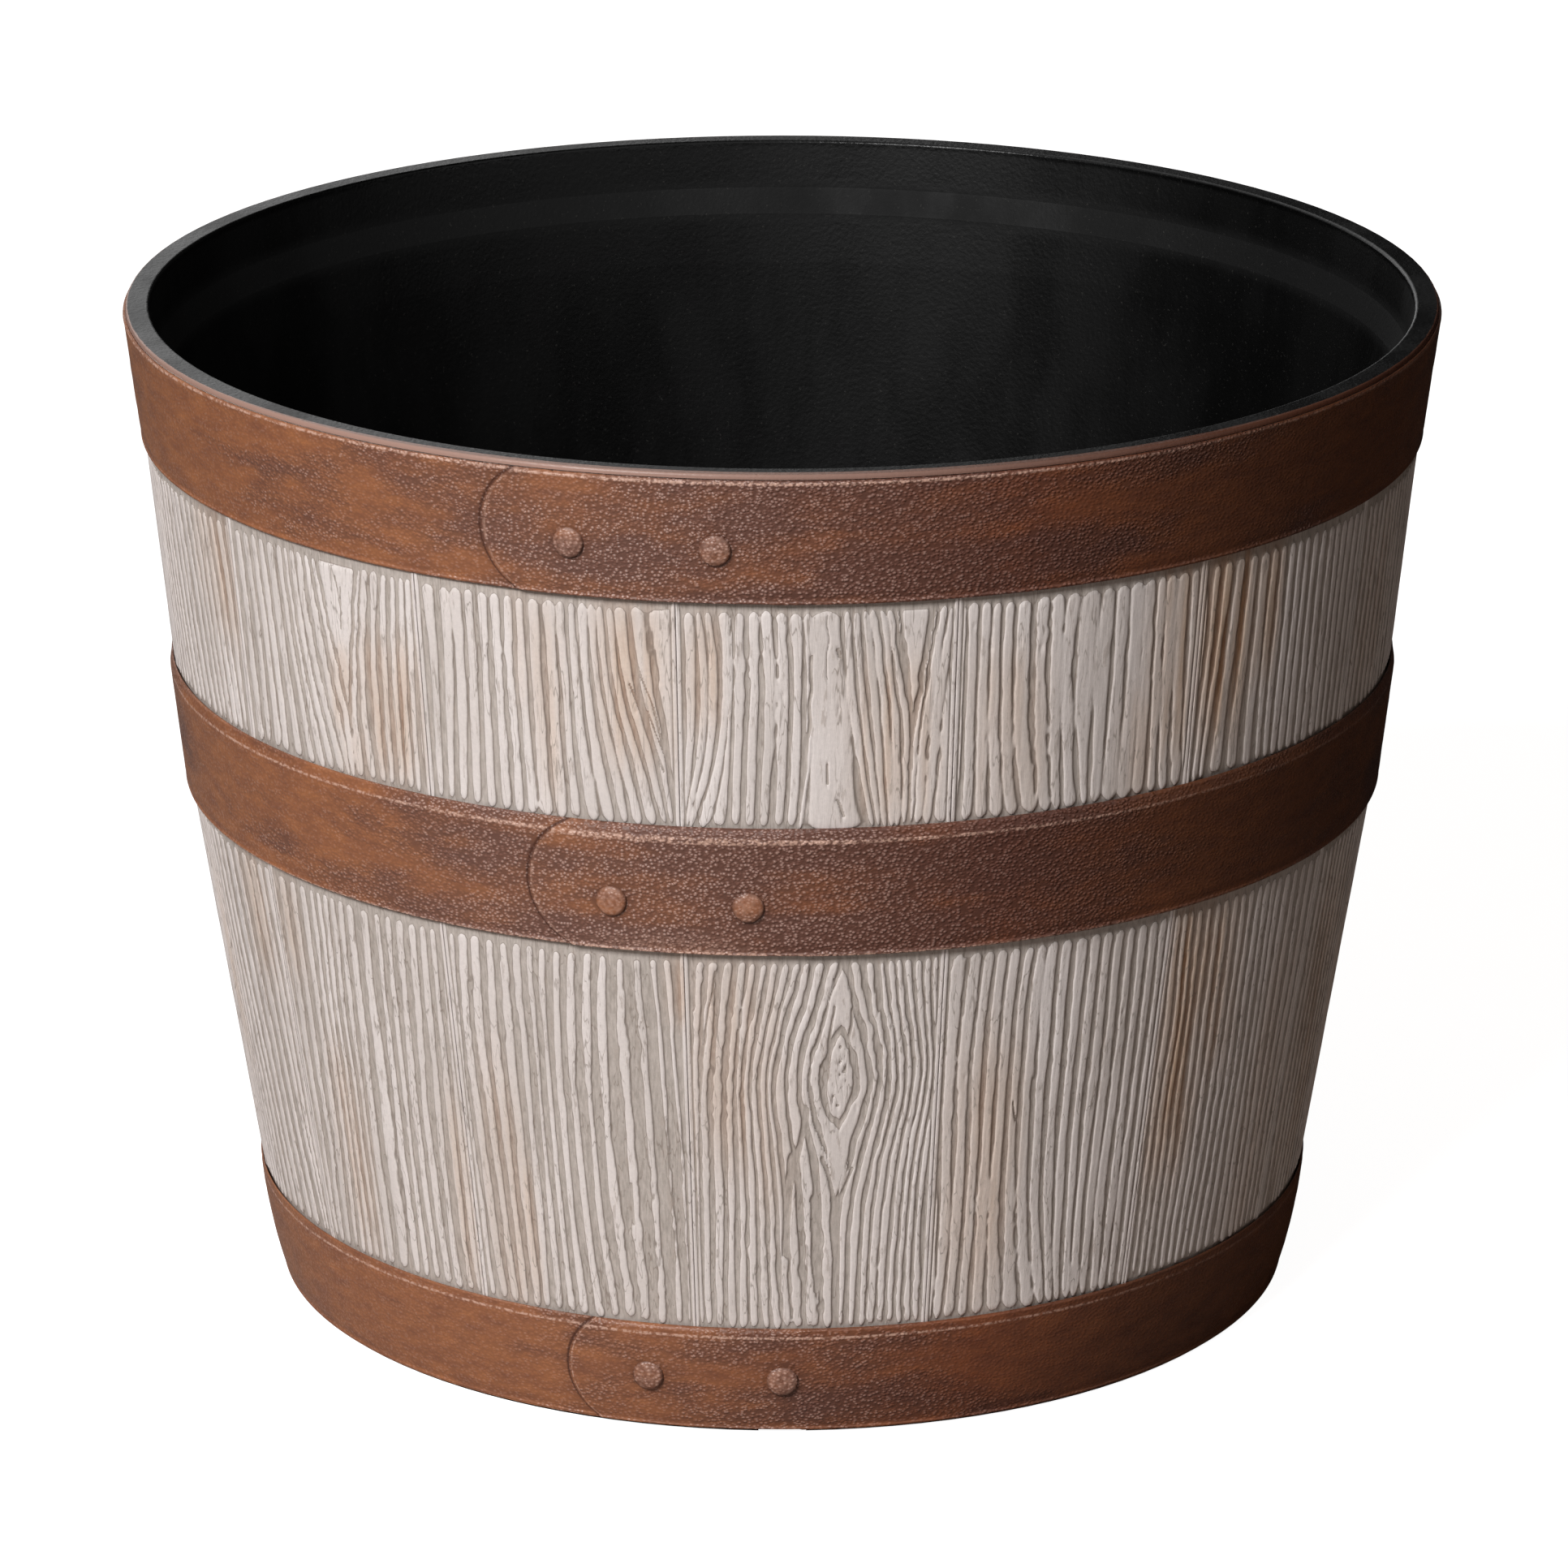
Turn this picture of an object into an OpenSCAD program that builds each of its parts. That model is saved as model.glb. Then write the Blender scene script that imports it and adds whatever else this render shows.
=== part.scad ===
// Round barrel planter in resin: a black tub, weathered staves round it,
// three lapped hoops with rivets, and a push-in drain plug.
// The origin is the middle of the footprint on the ground. The laps face -Y.

/* [Barrel] */
// Height from the ground to the top of the rim
height = 305; // [270:1:345]
// Diameter over the staves at the rim
mouth_d = 393.6; // [360:0.2:430]
// How far in from the rim the staves are at the lower edge of the top hoop
shoulder_in = 4.9; // [3.5:0.1:6]
// How far in from the rim they are at the upper edge of the middle hoop
bilge_in = 12; // [9:0.1:14]
// How far in from the rim they are at the lower edge of the middle hoop
waist_in = 16.4; // [14.5:0.1:19]
// How far in from the rim they are at the upper edge of the bottom hoop
chime_in = 35.8; // [31:0.1:40]
// How far in from the rim the foot is at the ground
foot_in = 43; // [41:0.1:48]

/* [Tub] */
// Wall above the stacking step
rim_wall_t = 4.1; // [3:0.1:5]
// Wall below the stacking step
wall_t = 5.7; // [5.2:0.1:8]
// Depth of the upper edge of the stacking step below the rim
step_depth = 15; // [10:0.5:20]
// Height of the stacking step's slope
step_h = 8; // [4:0.5:12]
// Thickness of the rim where it covers the staves and the top hoop
rim_lip_t = 1.4; // [1:0.1:3]
// How far the outer edge of the rim rounds in towards its top
rim_lean = 0.6; // [0.2:0.1:1.2]
// Radius of the inner edge of the rim
rim_round = 1; // [0.3:0.1:1.5]
// Underside of the floor above the ground
floor_z = 9; // [7:0.5:14]
// Thickness of the floor
floor_t = 4; // [3:0.1:6]
// Fillet between the floor and the wall
floor_fillet = 6; // [3:0.5:10]
// Ledge that the staves stand on, above the ground
ledge_z = 5; // [4:0.5:6.5]
// Width of the ring that stands on the ground
foot_w = 9; // [6:0.5:14]

/* [Underside] */
// Thickness of the ribs under the floor
rib_t = 3; // [2:0.1:5]
// Clearance of the ribs above the ground
rib_z = 3.5; // [2:0.1:5]
// Width of the drain notches in the foot ring
notch_w = 14; // [8:0.5:20]
// Height of the drain notches
notch_h = 3; // [2:0.1:4]

/* [Drain] */
// Bore of the drain hole
drain_d = 22; // [16:0.5:28]
// Wall of the boss round the drain hole
drain_wall = 7; // [4:0.5:9]
// Width of the plug's flange past the hole
flange_over = 6; // [4:0.5:9]
// Thickness of the plug's flange
flange_t = 2.4; // [1.6:0.1:4]
// How far the plug's shank shows below the boss
plug_tip = 0.8; // [0.4:0.1:1.2]
// Bevel round the plug's tip
plug_bevel = 1.5; // [0.5:0.1:2.5]
// Height of the pull tab above the flange
tab_h = 11; // [9:0.5:16]
// Width of the pull tab
tab_w = 12; // [10:0.5:18]
// Thickness of the pull tab
tab_t = 3; // [2:0.1:5]
// Hole in the pull tab
tab_hole_d = 5; // [3:0.5:6]

/* [Staves] */
// Thickness of a stave
stave_t = 3; // [2:0.1:4]
// Width of the seam between two staves
seam_w = 0.6; // [0.3:0.1:1.5]
// Angle of the first seam from the front
seam_angle = -9; // [-12:0.5:12]

/* [Hoops] */
// Width of the top hoop, under the rim
top_hoop_w = 37.2; // [32:0.1:46]
// Width of the middle hoop
middle_hoop_w = 39.3; // [33:0.1:46]
// Upper edge of the middle hoop below the rim
middle_hoop_drop = 107.6; // [95:0.1:120]
// Width of the bottom hoop
bottom_hoop_w = 34.3; // [31:0.1:42]
// Lower edge of the bottom hoop above the ground
bottom_hoop_low = 1; // [0.8:0.1:2]
// How far the top hoop stands out from the staves
top_hoop_t = 1.1; // [0.9:0.1:2.5]
// How far the middle hoop stands out from the staves
middle_hoop_t = 1.6; // [0.9:0.1:2.5]
// How far the bottom hoop stands out at its edges
bottom_hoop_t = 1.1; // [0.9:0.1:2]
// Extra swell of the bottom hoop halfway up
bottom_hoop_swell = 0.8; // [0.3:0.1:1.5]
// Height of the bevel under the rim on the top hoop
top_bevel_h = 0.7; // [0.6:0.1:3]
// Height of the bevel on the middle hoop's upper edge
middle_bevel_h = 3.7; // [1:0.1:6]
// Height of the bevel on the bottom hoop's upper edge
bottom_bevel_h = 2.8; // [1:0.1:6]
// Edge left standing at the top of each bevel
bevel_edge = 0.4; // [0.3:0.1:0.6]

/* [Laps] */
// Rise of the overlapping end over the hoop under it
lap_rise = 1; // [0.5:0.1:1.5]
// Angle from the tip of a lap to where it has faded out
lap_span_angle = 70; // [40:1:75]
// Angle from the point of greatest rise to the tip of the lap
lap_lead_angle = 12; // [0:1:14]
// Radius of the rounded end of the lap
lap_end_r = 21; // [20:0.5:30]
// Inset of the overlapping end from both edges of the hoop under it
lap_inset = 0.3; // [0.2:0.1:1]
// Angle of the top hoop's lap from the front
top_lap_angle = -25.7; // [-40:0.1:-15]
// Angle of the middle hoop's lap from the front
middle_lap_angle = -23.2; // [-40:0.1:-15]
// Angle of the bottom hoop's lap from the front
bottom_lap_angle = -23.2; // [-40:0.1:-15]

/* [Rivets] */
// Diameter of a rivet's head
rivet_d = 9.2; // [7:0.1:11]
// Height of a rivet's head
rivet_h = 1.2; // [1:0.1:2.5]
// Straight edge under the dome of the head
rivet_edge = 0.3; // [0.1:0.1:0.6]
// Diameter of a rivet's shank
shank_d = 4.6; // [3:0.1:6]
// Depth of the shank in the tub's wall
shank_bite = 2.6; // [1.5:0.1:3]
// Angle from the lap's tip to the first rivet, top and middle hoops
upper_rivet_angle = 7.9; // [6:0.1:10]
// Angle between the two rivets, top and middle hoops
upper_pair_angle = 12.3; // [8:0.1:16]
// Angle from the lap's tip to the first rivet, bottom hoop
bottom_rivet_angle = 9; // [7:0.1:11]
// Angle between the two rivets, bottom hoop
bottom_pair_angle = 14.2; // [8:0.1:18]
// Height of the rivets above the top hoop's lower edge
top_rivet_rise = 16.5; // [10:0.1:26]
// Height of the rivets above the middle hoop's lower edge
middle_rivet_rise = 15.5; // [10:0.1:26]
// Height of the rivets above the bottom hoop's lower edge
bottom_rivet_rise = 17.6; // [10:0.1:24]

/* [Fits] */
// Gap between the tub and the staves
stave_fit = 0.2; // [0.1:0.05:0.4]
// Gap between the staves and the hoops
hoop_fit = 0.2; // [0.1:0.05:0.3]
// Gap under the rim, over the staves and the top hoop
rim_fit = 0.2; // [0.1:0.05:0.5]
// Gap round a rivet's shank
rivet_fit = 0.1; // [0.05:0.05:0.3]
// Gap between the plug and the tub
plug_fit = 0.3; // [0.3:0.05:0.6]

/* [Hidden] */
STAVES = 15;
RIBS = 6;
SWELL_STEPS = 12;
FILLET_STEPS = 6;
EDGE_STEPS = 5;
function stave_name(i) = str("stave_", i < 10 ? "0" : "", i);
$fn = 128;
// Overlap that joins two shapes of one piece, and reach of cutting shapes past a face
bite = 1;

stave_angle = 360 / STAVES;
mouth_r = mouth_d / 2;
foot_r = mouth_r - foot_in;
foot_bore_r = foot_r - foot_w;
rim_low = height - rim_lip_t;
floor_top = floor_z + floor_t;
step_high = height - step_depth;
step_low = step_high - step_h;
top_hoop_high = rim_low - rim_fit;
top_hoop_low = top_hoop_high - top_hoop_w;
middle_hoop_high = height - middle_hoop_drop;
middle_hoop_low = middle_hoop_high - middle_hoop_w;
bottom_hoop_high = bottom_hoop_low + bottom_hoop_w;

// Outside of the staves, and of the tub's foot in line below them: [height, radius],
// straight between the points
STAVE_LINE = [
    [0, foot_r],
    [bottom_hoop_high, mouth_r - chime_in],
    [middle_hoop_low, mouth_r - waist_in],
    [middle_hoop_high, mouth_r - bilge_in],
    [top_hoop_low, mouth_r - shoulder_in],
    [height, mouth_r],
];
function stave_r(z) = lookup(z, STAVE_LINE);
function tub_r(z) = stave_r(z) - stave_t - stave_fit;
// Heights where the outline turns, from low to high, with both ends
function turns(low, high) =
    [low, for (p = STAVE_LINE) if (p[0] > low + 0.01 && p[0] < high - 0.01) p[0], high];
function flipped(list) = [for (i = [len(list) - 1:-1:0]) list[i]];

module tub_shell() {
    outer = [for (z = turns(ledge_z, rim_low)) [tub_r(z), z]];
    inner = [for (z = flipped(turns(floor_top + floor_fillet, step_low))) [tub_r(z) - wall_t, z]];
    fillet_x = inner[len(inner) - 1][0] - floor_fillet;
    fillet = [for (i = [1:FILLET_STEPS]) let (a = 90 * i / FILLET_STEPS)
        [fillet_x + floor_fillet * cos(a), floor_top + floor_fillet * (1 - sin(a))]];
    lip_in = mouth_r - stave_t - stave_fit - rim_wall_t;
    outer_edge = [for (i = [0:EDGE_STEPS]) let (a = 90 * i / EDGE_STEPS)
        [mouth_r - rim_lean * (1 - cos(a)), rim_low + rim_lip_t * sin(a)]];
    inner_edge = [for (i = [0:EDGE_STEPS]) let (a = 90 * i / EDGE_STEPS)
        [lip_in + rim_round * (1 - sin(a)), height - rim_round * (1 - cos(a))]];
    rotate_extrude()
        polygon(concat(
            [[foot_bore_r, 0], [foot_r, 0], [stave_r(ledge_z), ledge_z]],
            outer,
            outer_edge,
            inner_edge,
            [[tub_r(step_high) - rim_wall_t, step_high]],
            inner,
            fillet,
            [[0, floor_top], [0, floor_z], [foot_bore_r, floor_z]]
        ));
}

module under_ribs() {
    for (i = [0:RIBS - 1])
        rotate([0, 0, i * 360 / RIBS])
            translate([drain_d / 2 + drain_wall / 2, -rib_t / 2, rib_z])
                cube([foot_bore_r + bite - drain_d / 2 - drain_wall / 2, rib_t, floor_z + bite - rib_z]);
    translate([0, 0, rib_z])
        cylinder(h = floor_z + bite - rib_z, d = drain_d + 2 * drain_wall);
}

module drain_notches() {
    for (i = [0:RIBS - 1])
        rotate([0, 0, (i + 0.5) * 360 / RIBS])
            translate([foot_bore_r - bite, -notch_w / 2, -bite])
                cube([foot_w + 3 * bite, notch_w, notch_h + bite]);
}

module tub() {
    color("#1c1b1a")
        difference() {
            union() {
                tub_shell();
                under_ribs();
            }
            drain_notches();
            translate([0, 0, -bite]) cylinder(h = floor_top + 2 * bite, d = drain_d);
            for (h = HOOPS, k = [0, 1]) rivet_bore(h, k);
        }
}

// An angle brought between 0 and a full turn
function wrapped(angle) = angle - 360 * floor(angle / 360);
// Whether a rivet at an angle goes through the stave that starts at another angle, or its seam
function meets(angle, start) =
    let (margin = shank_d / foot_r * 180 / PI)
    wrapped(angle - start + margin) < stave_angle + 2 * margin;

module stave(i) {
    // Stave 1 starts at the first seam, and the numbers rise to the right
    start = seam_angle + (i - 1) * stave_angle;
    gap = seam_w / (mouth_r - chime_in) * 180 / PI;
    low = ledge_z + stave_fit;
    high = rim_low - rim_fit;
    outer = [for (z = turns(low, high)) [stave_r(z), z]];
    inner = [for (z = flipped(turns(low, high))) [stave_r(z) - stave_t, z]];
    color(i % 2 == 0 ? "#d3ccc3" : "#c9bfb3")
        difference() {
            rotate([0, 0, start - 90 + gap / 2])
                rotate_extrude(angle = stave_angle - gap) polygon(concat(outer, inner));
            for (h = HOOPS, k = [0, 1])
                if (meets(rivet_angle(h, k), start)) rivet_bore(h, k);
        }
}

// What each hoop is made from: lower edge, upper edge, stand-out, swell, bevel height,
// angle of the lap, angle on to the first rivet, angle on to the second, height of the rivets
TOP = [top_hoop_low, top_hoop_high, top_hoop_t, 0, top_bevel_h,
    top_lap_angle, upper_rivet_angle, upper_pair_angle, top_rivet_rise];
MIDDLE = [middle_hoop_low, middle_hoop_high, middle_hoop_t, 0, middle_bevel_h,
    middle_lap_angle, upper_rivet_angle, upper_pair_angle, middle_rivet_rise];
BOTTOM = [bottom_hoop_low, bottom_hoop_high, bottom_hoop_t, bottom_hoop_swell, bottom_bevel_h,
    bottom_lap_angle, bottom_rivet_angle, bottom_pair_angle, bottom_rivet_rise];
HOOPS = [TOP, MIDDLE, BOTTOM];
function low(h) = h[0];
function high(h) = h[1];
function stand_out(h) = h[2];
function swell(h) = h[3];
function bevel_z(h) = h[1] - h[4];
function lap_angle(h) = h[5];
function rivet_angle(h, k) = h[5] + h[6] + k * h[7];
function rivet_z(h) = h[0] + h[8];

// The face follows the staves, and swells between its lower edge and its bevel
function face_r(h, z) =
    let (u = (z - low(h)) / (bevel_z(h) - low(h)))
    stave_r(z) + stand_out(h) + 4 * swell(h) * u * (1 - u);

// A hoop's outer shape, solid to the axis
module hoop_block(h) {
    steps = swell(h) == 0 ? 1 : SWELL_STEPS;
    face = [for (i = [0:steps]) let (z = low(h) + (bevel_z(h) - low(h)) * i / steps) [face_r(h, z), z]];
    rotate_extrude()
        polygon(concat(
            [[0, low(h)]],
            face,
            [[stave_r(high(h)) + hoop_fit + bevel_edge, high(h)], [0, high(h)]]
        ));
}

// The room inside a hoop for what it wraps, which runs straight on past both its edges
module hoop_core(h) {
    zs = turns(low(h), high(h));
    inside = [for (i = [1:1:len(zs) - 2]) [stave_r(zs[i]) + hoop_fit, zs[i]]];
    below = 2 * stave_r(low(h)) - stave_r(low(h) + bite) + hoop_fit;
    above = 2 * stave_r(high(h)) - stave_r(high(h) - bite) + hoop_fit;
    rotate_extrude()
        polygon(concat(
            [[0, low(h) - bite], [below, low(h) - bite]],
            inside,
            [[above, high(h) + bite], [0, high(h) + bite]]
        ));
}

// Outline of the overlapping end, from its rounded tip at 0, as high as the hoop less its insets
module lap_outline(h, reach) {
    side = (high(h) - low(h)) / 2 - lap_inset;
    intersection() {
        union() {
            translate([lap_end_r, 0]) circle(r = lap_end_r);
            translate([lap_end_r, -lap_end_r]) square([reach, 2 * lap_end_r]);
        }
        translate([-bite, -side]) square([reach, 2 * side]);
    }
}

// The overlapping end: the block again, moved towards the lap, so that it rises at the tip
// and fades out round the barrel
module lap(h) {
    reach = mouth_d;
    intersection() {
        rotate([0, 0, lap_angle(h) - lap_lead_angle])
            translate([0, -lap_rise, 0])
                hoop_block(h);
        rotate([0, 0, lap_angle(h)])
            translate([0, 0, (low(h) + high(h)) / 2])
                rotate([90, 0, 0])
                    linear_extrude(height = reach) lap_outline(h, reach);
        // Past this angle the rise is too small to see
        rotate([0, 0, lap_angle(h) + lap_span_angle])
            translate([-reach, -reach, -bite])
                cube([reach, reach, height + 2 * bite]);
    }
}

// Radius of the lap's face at a rivet
function rivet_r(h, k) =
    face_r(h, rivet_z(h)) + lap_rise * cos(rivet_angle(h, k) - lap_angle(h) + lap_lead_angle);
// Lean of the hoop's face there
function rivet_lean(h) = atan(face_r(h, rivet_z(h) + 0.5) - face_r(h, rivet_z(h) - 0.5));

// Puts a shape that points along +Z on the hoop's face, square to it
module on_hoop(h, k) {
    rotate([0, 0, rivet_angle(h, k)])
        translate([0, -rivet_r(h, k), rivet_z(h)])
            rotate([90 + rivet_lean(h), 0, 0])
                children();
}

// Depth of a rivet's shank under its head
function shank_l(h, k) = rivet_r(h, k) - tub_r(rivet_z(h)) + shank_bite;

module rivet_bore(h, k) {
    on_hoop(h, k)
        translate([0, 0, -shank_l(h, k) - rivet_fit])
            cylinder(h = shank_l(h, k) + rivet_fit + bite, d = shank_d + 2 * rivet_fit, $fn = 48);
}

module rivet() {
    dome_h = rivet_h - rivet_edge;
    ball_r = (rivet_d * rivet_d / 4 + dome_h * dome_h) / (2 * dome_h);
    intersection() {
        translate([0, 0, rivet_h - ball_r]) sphere(r = ball_r);
        cylinder(h = rivet_h, d = rivet_d);
    }
}

module rivets(h) {
    color("#6b3f2a")
        for (k = [0, 1])
            on_hoop(h, k) {
                rivet();
                translate([0, 0, -shank_l(h, k)])
                    cylinder(h = shank_l(h, k) + bite / 2, d = shank_d, $fn = 48);
            }
}

module hoop(h) {
    color("#7d4b32")
        difference() {
            union() {
                hoop_block(h);
                lap(h);
            }
            hoop_core(h);
            for (k = [0, 1]) rivet_bore(h, k);
        }
}

module drain_plug() {
    seat = floor_top + plug_fit;
    shank_r = drain_d / 2 - plug_fit;
    low = rib_z - plug_tip;
    color("#2b2b2d")
        difference() {
            union() {
                rotate_extrude()
                    polygon([[0, low], [shank_r - plug_bevel, low], [shank_r, low + plug_bevel],
                        [shank_r, seat], [drain_d / 2 + flange_over, seat],
                        [drain_d / 2 + flange_over, seat + flange_t], [0, seat + flange_t]]);
                translate([-tab_w / 2, -tab_t / 2, seat + flange_t - bite])
                    cube([tab_w, tab_t, tab_h - tab_w / 2 + bite]);
                translate([0, tab_t / 2, seat + flange_t + tab_h - tab_w / 2])
                    rotate([90, 0, 0]) cylinder(h = tab_t, d = tab_w, $fn = 64);
            }
            translate([0, tab_t / 2 + bite, seat + flange_t + tab_h - tab_w / 2])
                rotate([90, 0, 0]) cylinder(h = tab_t + 2 * bite, d = tab_hole_d, $fn = 32);
        }
}

tub();
for (i = [1:STAVES]) stave(i);
hoop(TOP);  // top_hoop
hoop(MIDDLE);  // middle_hoop
hoop(BOTTOM);  // bottom_hoop
rivets(TOP);  // top_rivets
rivets(MIDDLE);  // middle_rivets
rivets(BOTTOM);  // bottom_rivets
drain_plug();
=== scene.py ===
import math

import bpy
import numpy as np
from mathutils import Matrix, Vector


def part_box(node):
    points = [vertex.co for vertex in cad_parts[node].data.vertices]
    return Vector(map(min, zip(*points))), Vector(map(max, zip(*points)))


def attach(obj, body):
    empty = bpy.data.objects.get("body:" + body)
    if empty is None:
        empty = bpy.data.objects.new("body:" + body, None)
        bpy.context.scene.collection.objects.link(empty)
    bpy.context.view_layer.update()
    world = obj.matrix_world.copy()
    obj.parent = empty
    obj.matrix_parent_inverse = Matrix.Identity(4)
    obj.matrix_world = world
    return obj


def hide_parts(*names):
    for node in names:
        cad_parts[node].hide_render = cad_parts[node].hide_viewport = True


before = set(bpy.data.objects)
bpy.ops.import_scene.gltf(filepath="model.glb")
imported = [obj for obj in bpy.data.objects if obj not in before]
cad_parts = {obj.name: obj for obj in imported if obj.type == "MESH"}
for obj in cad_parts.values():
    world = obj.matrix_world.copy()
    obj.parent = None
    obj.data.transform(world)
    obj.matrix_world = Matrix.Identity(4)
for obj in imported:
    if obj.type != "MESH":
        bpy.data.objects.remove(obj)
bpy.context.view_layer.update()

# The tub: a thick round shell of black structural-foam resin, moulded in one piece with its
# rim, stacking step, floor, ribs and drain boss. It is matt, with a faint pale speckle from
# the foam, and the rounded outer edge of its rim is painted with the hoops.
MM = 0.001
TUB_BLACK = "#040404"
TUB_SPECK = "#3a3937"
SPECK_MM = 0.9
STEP_AT_MM = 286.0
RIM_TOP_MM = 305.0
RIM_PAINT = "#a6867a"
RIM_PAINT_IN_SHADE = "#5f3c2e"
PAINT_FROM_MM = 196.0
PAINT_WIDER_MM = 2.2
PAINT_RAGGED_MM = 0.6
PAINT_TURN_DEG = 15.0
SOFT = {"interpolation_type": "SMOOTHSTEP"}
RGBA = {"data_type": "RGBA"}


def linear(hex_colour):
    """An sRGB hex colour as linear red, green, blue and an alpha of 1."""
    parts = [int(hex_colour[i:i + 2], 16) / 255 for i in (1, 3, 5)]
    return [p / 12.92 if p <= 0.04045 else ((p + 0.055) / 1.055) ** 2.4 for p in parts] + [1.0]


def add(tree, kind, inputs=(), stops=(), **settings):
    """Adds a node and gives its outputs. Its inputs are sockets to link, values or hex colours, in
    a list from the first on, or by name or number: a colour mix has its factor at 0, its colours
    at 6 and 7 and its output at 2. A map from one range to another has a value, two levels, and
    what it gives at each. Stops are a ramp's places and colours; settings are properties."""
    node = tree.nodes.new("ShaderNode" + kind)
    for key, value in settings.items():
        setattr(node, key, value)
    for key, value in inputs.items() if isinstance(inputs, dict) else enumerate(inputs):
        if isinstance(value, bpy.types.NodeSocket):
            tree.links.new(value, node.inputs[key])
        else:
            node.inputs[key].default_value = linear(value) if isinstance(value, str) else value
    if stops:
        elements = node.color_ramp.elements
        for element, (place, colour) in zip((elements[0], elements[1]), (stops[0], stops[-1])):
            element.position, element.color = place, linear(colour)
        for place, colour in stops[1:-1]:
            elements.new(place).color = linear(colour)
    return node.outputs


def new_material(name):
    """A new node material, its tree, its Principled shader, and the places on its object."""
    material = bpy.data.materials.new(name)
    material.use_nodes = True
    tree = material.node_tree
    where = add(tree, "TexCoord")["Object"]
    return material, tree, tree.nodes["Principled BSDF"], where


def pattern(where, size_mm, detail=2.0, roughness=0.5):
    """A noise's inputs, by which its features are as wide as a size in millimetres."""
    return {"Vector": where, "Scale": 1000.0 / size_mm, "Detail": detail, "Roughness": roughness}


def moulded_black_resin():
    """Matt black foam resin: pale specks, a fine pebbled skin with duller smears down the wall, a
    duller stacking step and a smoother rim. The rim's outer edge is painted, more widely in
    front, and its paint is darkened towards the right as painted shade."""
    material, tree, shader, where = new_material("moulded_black_resin")
    specks = add(tree, "TexNoise", pattern(where, SPECK_MM, 3.0, 0.6))[0]
    specks = add(tree, "MapRange", [specks, 0.62, 0.76, 0.0, 0.6], **SOFT)[0]
    body = add(tree, "Mix", {0: specks, 6: TUB_BLACK, 7: TUB_SPECK}, **RGBA)[2]
    axes = add(tree, "SeparateXYZ", [where])
    flat = add(tree, "CombineXYZ", [axes["X"], axes["Y"]])[0]
    reach = add(tree, "VectorMath", [flat], operation="LENGTH")["Value"]
    wider = add(tree, "MapRange", [axes["Y"], -190 * MM, -100 * MM, PAINT_WIDER_MM * MM, 0.0], **SOFT)[0]
    widened = add(tree, "Math", [reach, wider], operation="ADD")[0]
    ragged = add(tree, "TexNoise", pattern(where, 5.0, 3.0))[0]
    ragged = add(tree, "Math", [ragged, PAINT_RAGGED_MM * MM, widened], operation="MULTIPLY_ADD")[0]
    outside = add(tree, "MapRange", [ragged, (PAINT_FROM_MM + 0.3) * MM, (PAINT_FROM_MM + 0.6) * MM],
                  **SOFT)[0]
    high = add(tree, "MapRange", [axes["Z"], (RIM_TOP_MM - 2.0) * MM, (RIM_TOP_MM - 1.5) * MM], **SOFT)[0]
    # Painted shade: the rim's paint turns darker towards the right, away from the lamp.
    turned = math.radians(PAINT_TURN_DEG)
    aside = add(tree, "VectorMath", [flat, (math.cos(turned), math.sin(turned), 0)],
                operation="DOT_PRODUCT")["Value"]
    shade_to_right = add(tree, "MapRange", [aside, -120 * MM, 100 * MM], **SOFT)[0]
    paint = add(tree, "ValToRGB", [shade_to_right], ((0.0, RIM_PAINT), (1.0, RIM_PAINT_IN_SHADE)))[0]
    painted = add(tree, "Math", [outside, high], operation="MULTIPLY")[0]
    colour = add(tree, "Mix", {0: painted, 6: body, 7: paint}, **RGBA)[2]
    tree.links.new(colour, shader.inputs["Base Color"])
    drawn_down = add(tree, "Mapping", {"Vector": where, "Scale": (1.0, 1.0, 0.35)})[0]
    smears = add(tree, "TexNoise", pattern(drawn_down, 30.0, 4.0, 0.6))[0]
    smears = add(tree, "MapRange", [smears, 0.35, 0.65, 0.4, 0.52], **SOFT)[0]
    from_step = add(tree, "Math", [axes["Z"], STEP_AT_MM * MM], operation="SUBTRACT")[0]
    from_step = add(tree, "Math", [from_step], operation="ABSOLUTE")[0]
    on_step = add(tree, "MapRange", [from_step, 3 * MM, 8 * MM, 0.22, 0.0], **SOFT)[0]
    dull = add(tree, "Math", [smears, on_step], operation="ADD")[0]
    polish = add(tree, "MapRange", [axes["Z"], (RIM_TOP_MM - 2.5) * MM, (RIM_TOP_MM - 1.0) * MM, 0.0, -0.2],
                 **SOFT)[0]
    dull = add(tree, "Math", [dull, polish], operation="ADD", use_clamp=True)[0]
    tree.links.new(dull, shader.inputs["Roughness"])
    shader.inputs["Specular IOR Level"].default_value = 0.2
    pebbles = add(tree, "TexNoise", pattern(where, 1.3, 3.0))[0]
    skin = add(tree, "Bump", {"Strength": 0.35, "Distance": 0.3 * MM, "Height": pebbles})[0]
    tree.links.new(skin, shader.inputs["Normal"])
    return material


def dressed(node, material):
    """A CAD node shown as it is, in a material of its own."""
    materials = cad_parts[node].data.materials
    materials.clear()
    materials.append(material)


dressed("tub", moulded_black_resin())

# The drain plug: a soft black rubber bung that is pushed into the drain hole from inside.
# It has a wide flange that seals on the floor, and a tab with a hole to pull it out by.
PLUG_RUBBER = "#1d1d1f"
PLUG_BLOOM = "#39383a"


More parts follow.
